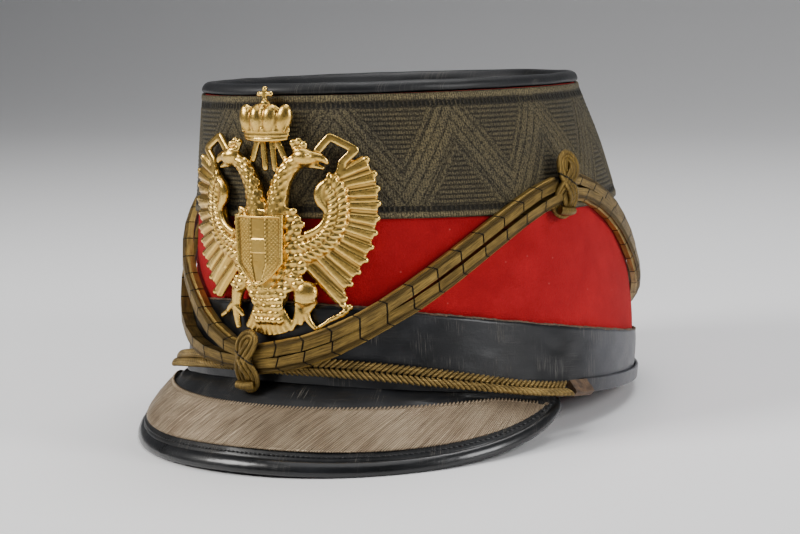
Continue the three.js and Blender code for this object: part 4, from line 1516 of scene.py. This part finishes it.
def make_shield():
    """A plain shield: a raised rim round three upright bands, with a bar across the middle one."""
    piece = flat_sheet("gilt_shield", 72, 96)
    flat = points_of(piece)
    side = flat[:, 0] + 0.5
    up = flat[:, 1] + 0.5
    height = SHIELD_FOOT + (SHIELD_TOP - SHIELD_FOOT) * up
    closing = np.clip((height - SHIELD_FOOT) / 8.2, 0, 1) ** 0.62
    left = -1 + (-8.0 - 1.0 * up + 0.2) * closing
    right = -1 + (9.2 + 0.6 * up) * closing
    x = left + (right - left) * side
    flare = 0.7 * np.clip((up - 0.93) / 0.07, 0, 1) * np.sin(side * math.pi)
    ends = np.minimum(SHIELD_TOP - height, (height - SHIELD_FOOT) * 0.8)
    edge = np.minimum(np.minimum(x - left, right - x), ends)
    rim = np.clip((1.3 - edge) / 0.35, 0, 1)
    third = np.abs(np.abs(side - 0.5) - 0.17) < 0.022
    middle = np.abs(side - 0.5) < 0.15
    bar = middle & (np.abs(up - 0.56) < 0.1)
    dots = 0.12 * np.maximum(0, np.sin(x * 4.4) * np.sin(height * 4.4)) * ~middle
    face = 0.35 * third + 0.3 * bar + dots
    lift = 5.6 + 0.8 * rim + (1 - rim) * face + 0.5 * np.sin(side * math.pi)
    write_uv(piece, x, height)
    put(piece, np.stack([x, height - flare, lift], 1))
    close_seams(piece, 0.02)
    modify(piece, "SOLIDIFY", thickness=3.4, offset=-1)
    bow(piece)
    finished(piece, gilt, "gilt_brass", "eagle_shield")


def make_crown():
    """Four lobes between ribs, over a band of three rolls and a row of pearls, under a cross."""
    middle = PLATE_MIDDLE
    relief = Relief()
    for k, wide, deep, lean in ((7.3, 3.1, 2.6, 13), (2.5, 3.2, 3.7, 5)):
        for side in (-1, 1):
            relief.bead(middle + side * k, 94.9, 2.6, wide, 5.4, deep, -side * lean)
    for k in (-9.6, -5.0, 0, 5.0, 9.6):
        foot = (middle + k * 0.82, 90.4, 4.2)
        belly = (middle + k * 1.06, 94.6, 5.8 - abs(k) * 0.22)
        relief.cord([foot, belly, (middle + k * 0.5, 99.2, 4.4)], 0.55)
    for y, reach, thick in ((87.3, 8.4, 0.8), (88.6, 8.9, 0.8), (90.1, 9.2, 0.95)):
        places = ((-1, 0.9, 2.2), (-0.5, 0, 4.6), (0.5, 0, 4.6), (1, 0.9, 2.2))
        relief.cord([(middle + reach * share, y + rise, z) for share, rise, z in places], thick)
    relief.bead(middle, 89.2, 2.2, 8.8, 2.2, 2.6)
    relief.bead(middle, 94, 1.4, 9.4, 5.6, 2.2)
    for k in range(-5, 6):
        relief.bead(middle + k * 1.7, 91.3 + abs(k) * 0.1, 4.9 - abs(k) * 0.36, 0.7, 0.6, 0.6)
    relief.bead(middle, 100.2, 2.4, 1.9, 1.5, 1.6)
    relief.bar((middle, 100.6), (middle, 105.2), 1.5, 1.6, 2.4)
    relief.bar((middle - 1.9, 103.6), (middle + 1.9, 103.6), 1.4, 1.6, 2.4)
    relief.beads([(middle, 105.4), (middle - 2.3, 103.6), (middle + 2.3, 103.6)], 2.4, 1.0, 1.0, 1.0)
    piece = relief.fuse("gilt_crown", CROWN_VOXEL)
    bow(piece)
    finished(piece, gilt, "gilt_brass", "eagle_crown")


# ---------------------------------------------------------------- studio


def make_floor():
    bpy.ops.object.select_all(action="DESELECT")
    bpy.ops.mesh.primitive_plane_add(size=9, location=(0, -1.2, 0))
    floor = named("studio_floor")
    bpy.ops.object.transform_apply(location=True)
    only(floor)
    bpy.ops.object.mode_set(mode="EDIT")
    bpy.ops.mesh.select_all(action="DESELECT")
    bpy.ops.mesh.select_mode(type="EDGE")
    bpy.ops.object.mode_set(mode="OBJECT")
    back = max(vertex.co.y for vertex in floor.data.vertices)
    for edge in floor.data.edges:
        edge.select = all(floor.data.vertices[i].co.y > back - 0.01 for i in edge.vertices)
    bpy.ops.object.mode_set(mode="EDIT")
    bpy.ops.mesh.extrude_region_move(TRANSFORM_OT_translate={"value": (0, 0, 5)})
    bpy.ops.object.mode_set(mode="OBJECT")
    bevel_edges(floor, lambda at: abs(at.y - back) < 0.01 and at.z < 0.01, 2.2, 16)
    floor.data.polygons.foreach_set("use_smooth", [True] * len(floor.data.polygons))
    floor.data.materials.append(floor_paint)
    floor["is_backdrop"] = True


def area_light(name, place, aim, size, power, colour=(1, 1, 1)):
    light = bpy.data.lights.new(name, "AREA")
    light.shape = "RECTANGLE"
    light.size, light.size_y = size
    light.energy = power
    light.color = colour
    lamp = bpy.data.objects.new(name, light)
    bpy.context.collection.objects.link(lamp)
    lamp.location = place
    lamp.rotation_euler = (Vector(aim) - Vector(place)).to_track_quat("-Z", "Y").to_euler()


def make_lights():
    world = bpy.data.worlds.new("studio_air")
    bpy.context.scene.world = world
    world.use_nodes = True
    air = world.node_tree.nodes["Background"]
    air.inputs["Color"].default_value = (0.86, 0.88, 0.92, 1)
    air.inputs["Strength"].default_value = 0.12
    area_light("key_light", (-0.7, -0.75, 0.75), (0, 0, 0.06), (0.45, 0.45), 13.0, (1.0, 0.98, 0.95))
    area_light("side_light", (0.95, 0.0, 0.42), (0, 0, 0.05), (0.3, 0.45), 6.5)
    area_light("top_light", (0.0, 0.35, 0.95), (0, 0, 0.1), (0.6, 0.35), 4.5)
    area_light("floor_light", (0.1, -0.2, 1.9), (0, 0, 0), (1.6, 1.6), 13.0)


def make_camera():
    data = bpy.data.cameras.new("studio_camera")
    data.lens = 86.55
    data.sensor_width = 36
    camera = bpy.data.objects.new("studio_camera", data)
    bpy.context.collection.objects.link(camera)
    place = Vector((0.3925, -0.6432, 0.1719))
    aim = Vector((-0.0052, 0.0081, 0.0529))
    roll = Matrix.Rotation(math.radians(-2.66), 3, "Z").to_quaternion()
    camera.location = place
    camera.rotation_euler = ((aim - place).to_track_quat("-Z", "Y") @ roll).to_euler()
    bpy.context.scene.camera = camera


# ---------------------------------------------------------------- the hat

make_cloth()
make_lace()
make_band()
make_torn_edge()
make_strip()
make_top()
make_peak()
make_peak_lace()
make_peak_stitches()
make_binding()
make_festoons()
make_chin_braid()
make_knots()
make_eagle()
make_shield()
make_crown()
make_floor()
make_lights()
make_camera()

low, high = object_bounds()
sizes = {"cad": [list(cad_box[0]), list(cad_box[1])], "visual": [list(low), list(high)]}
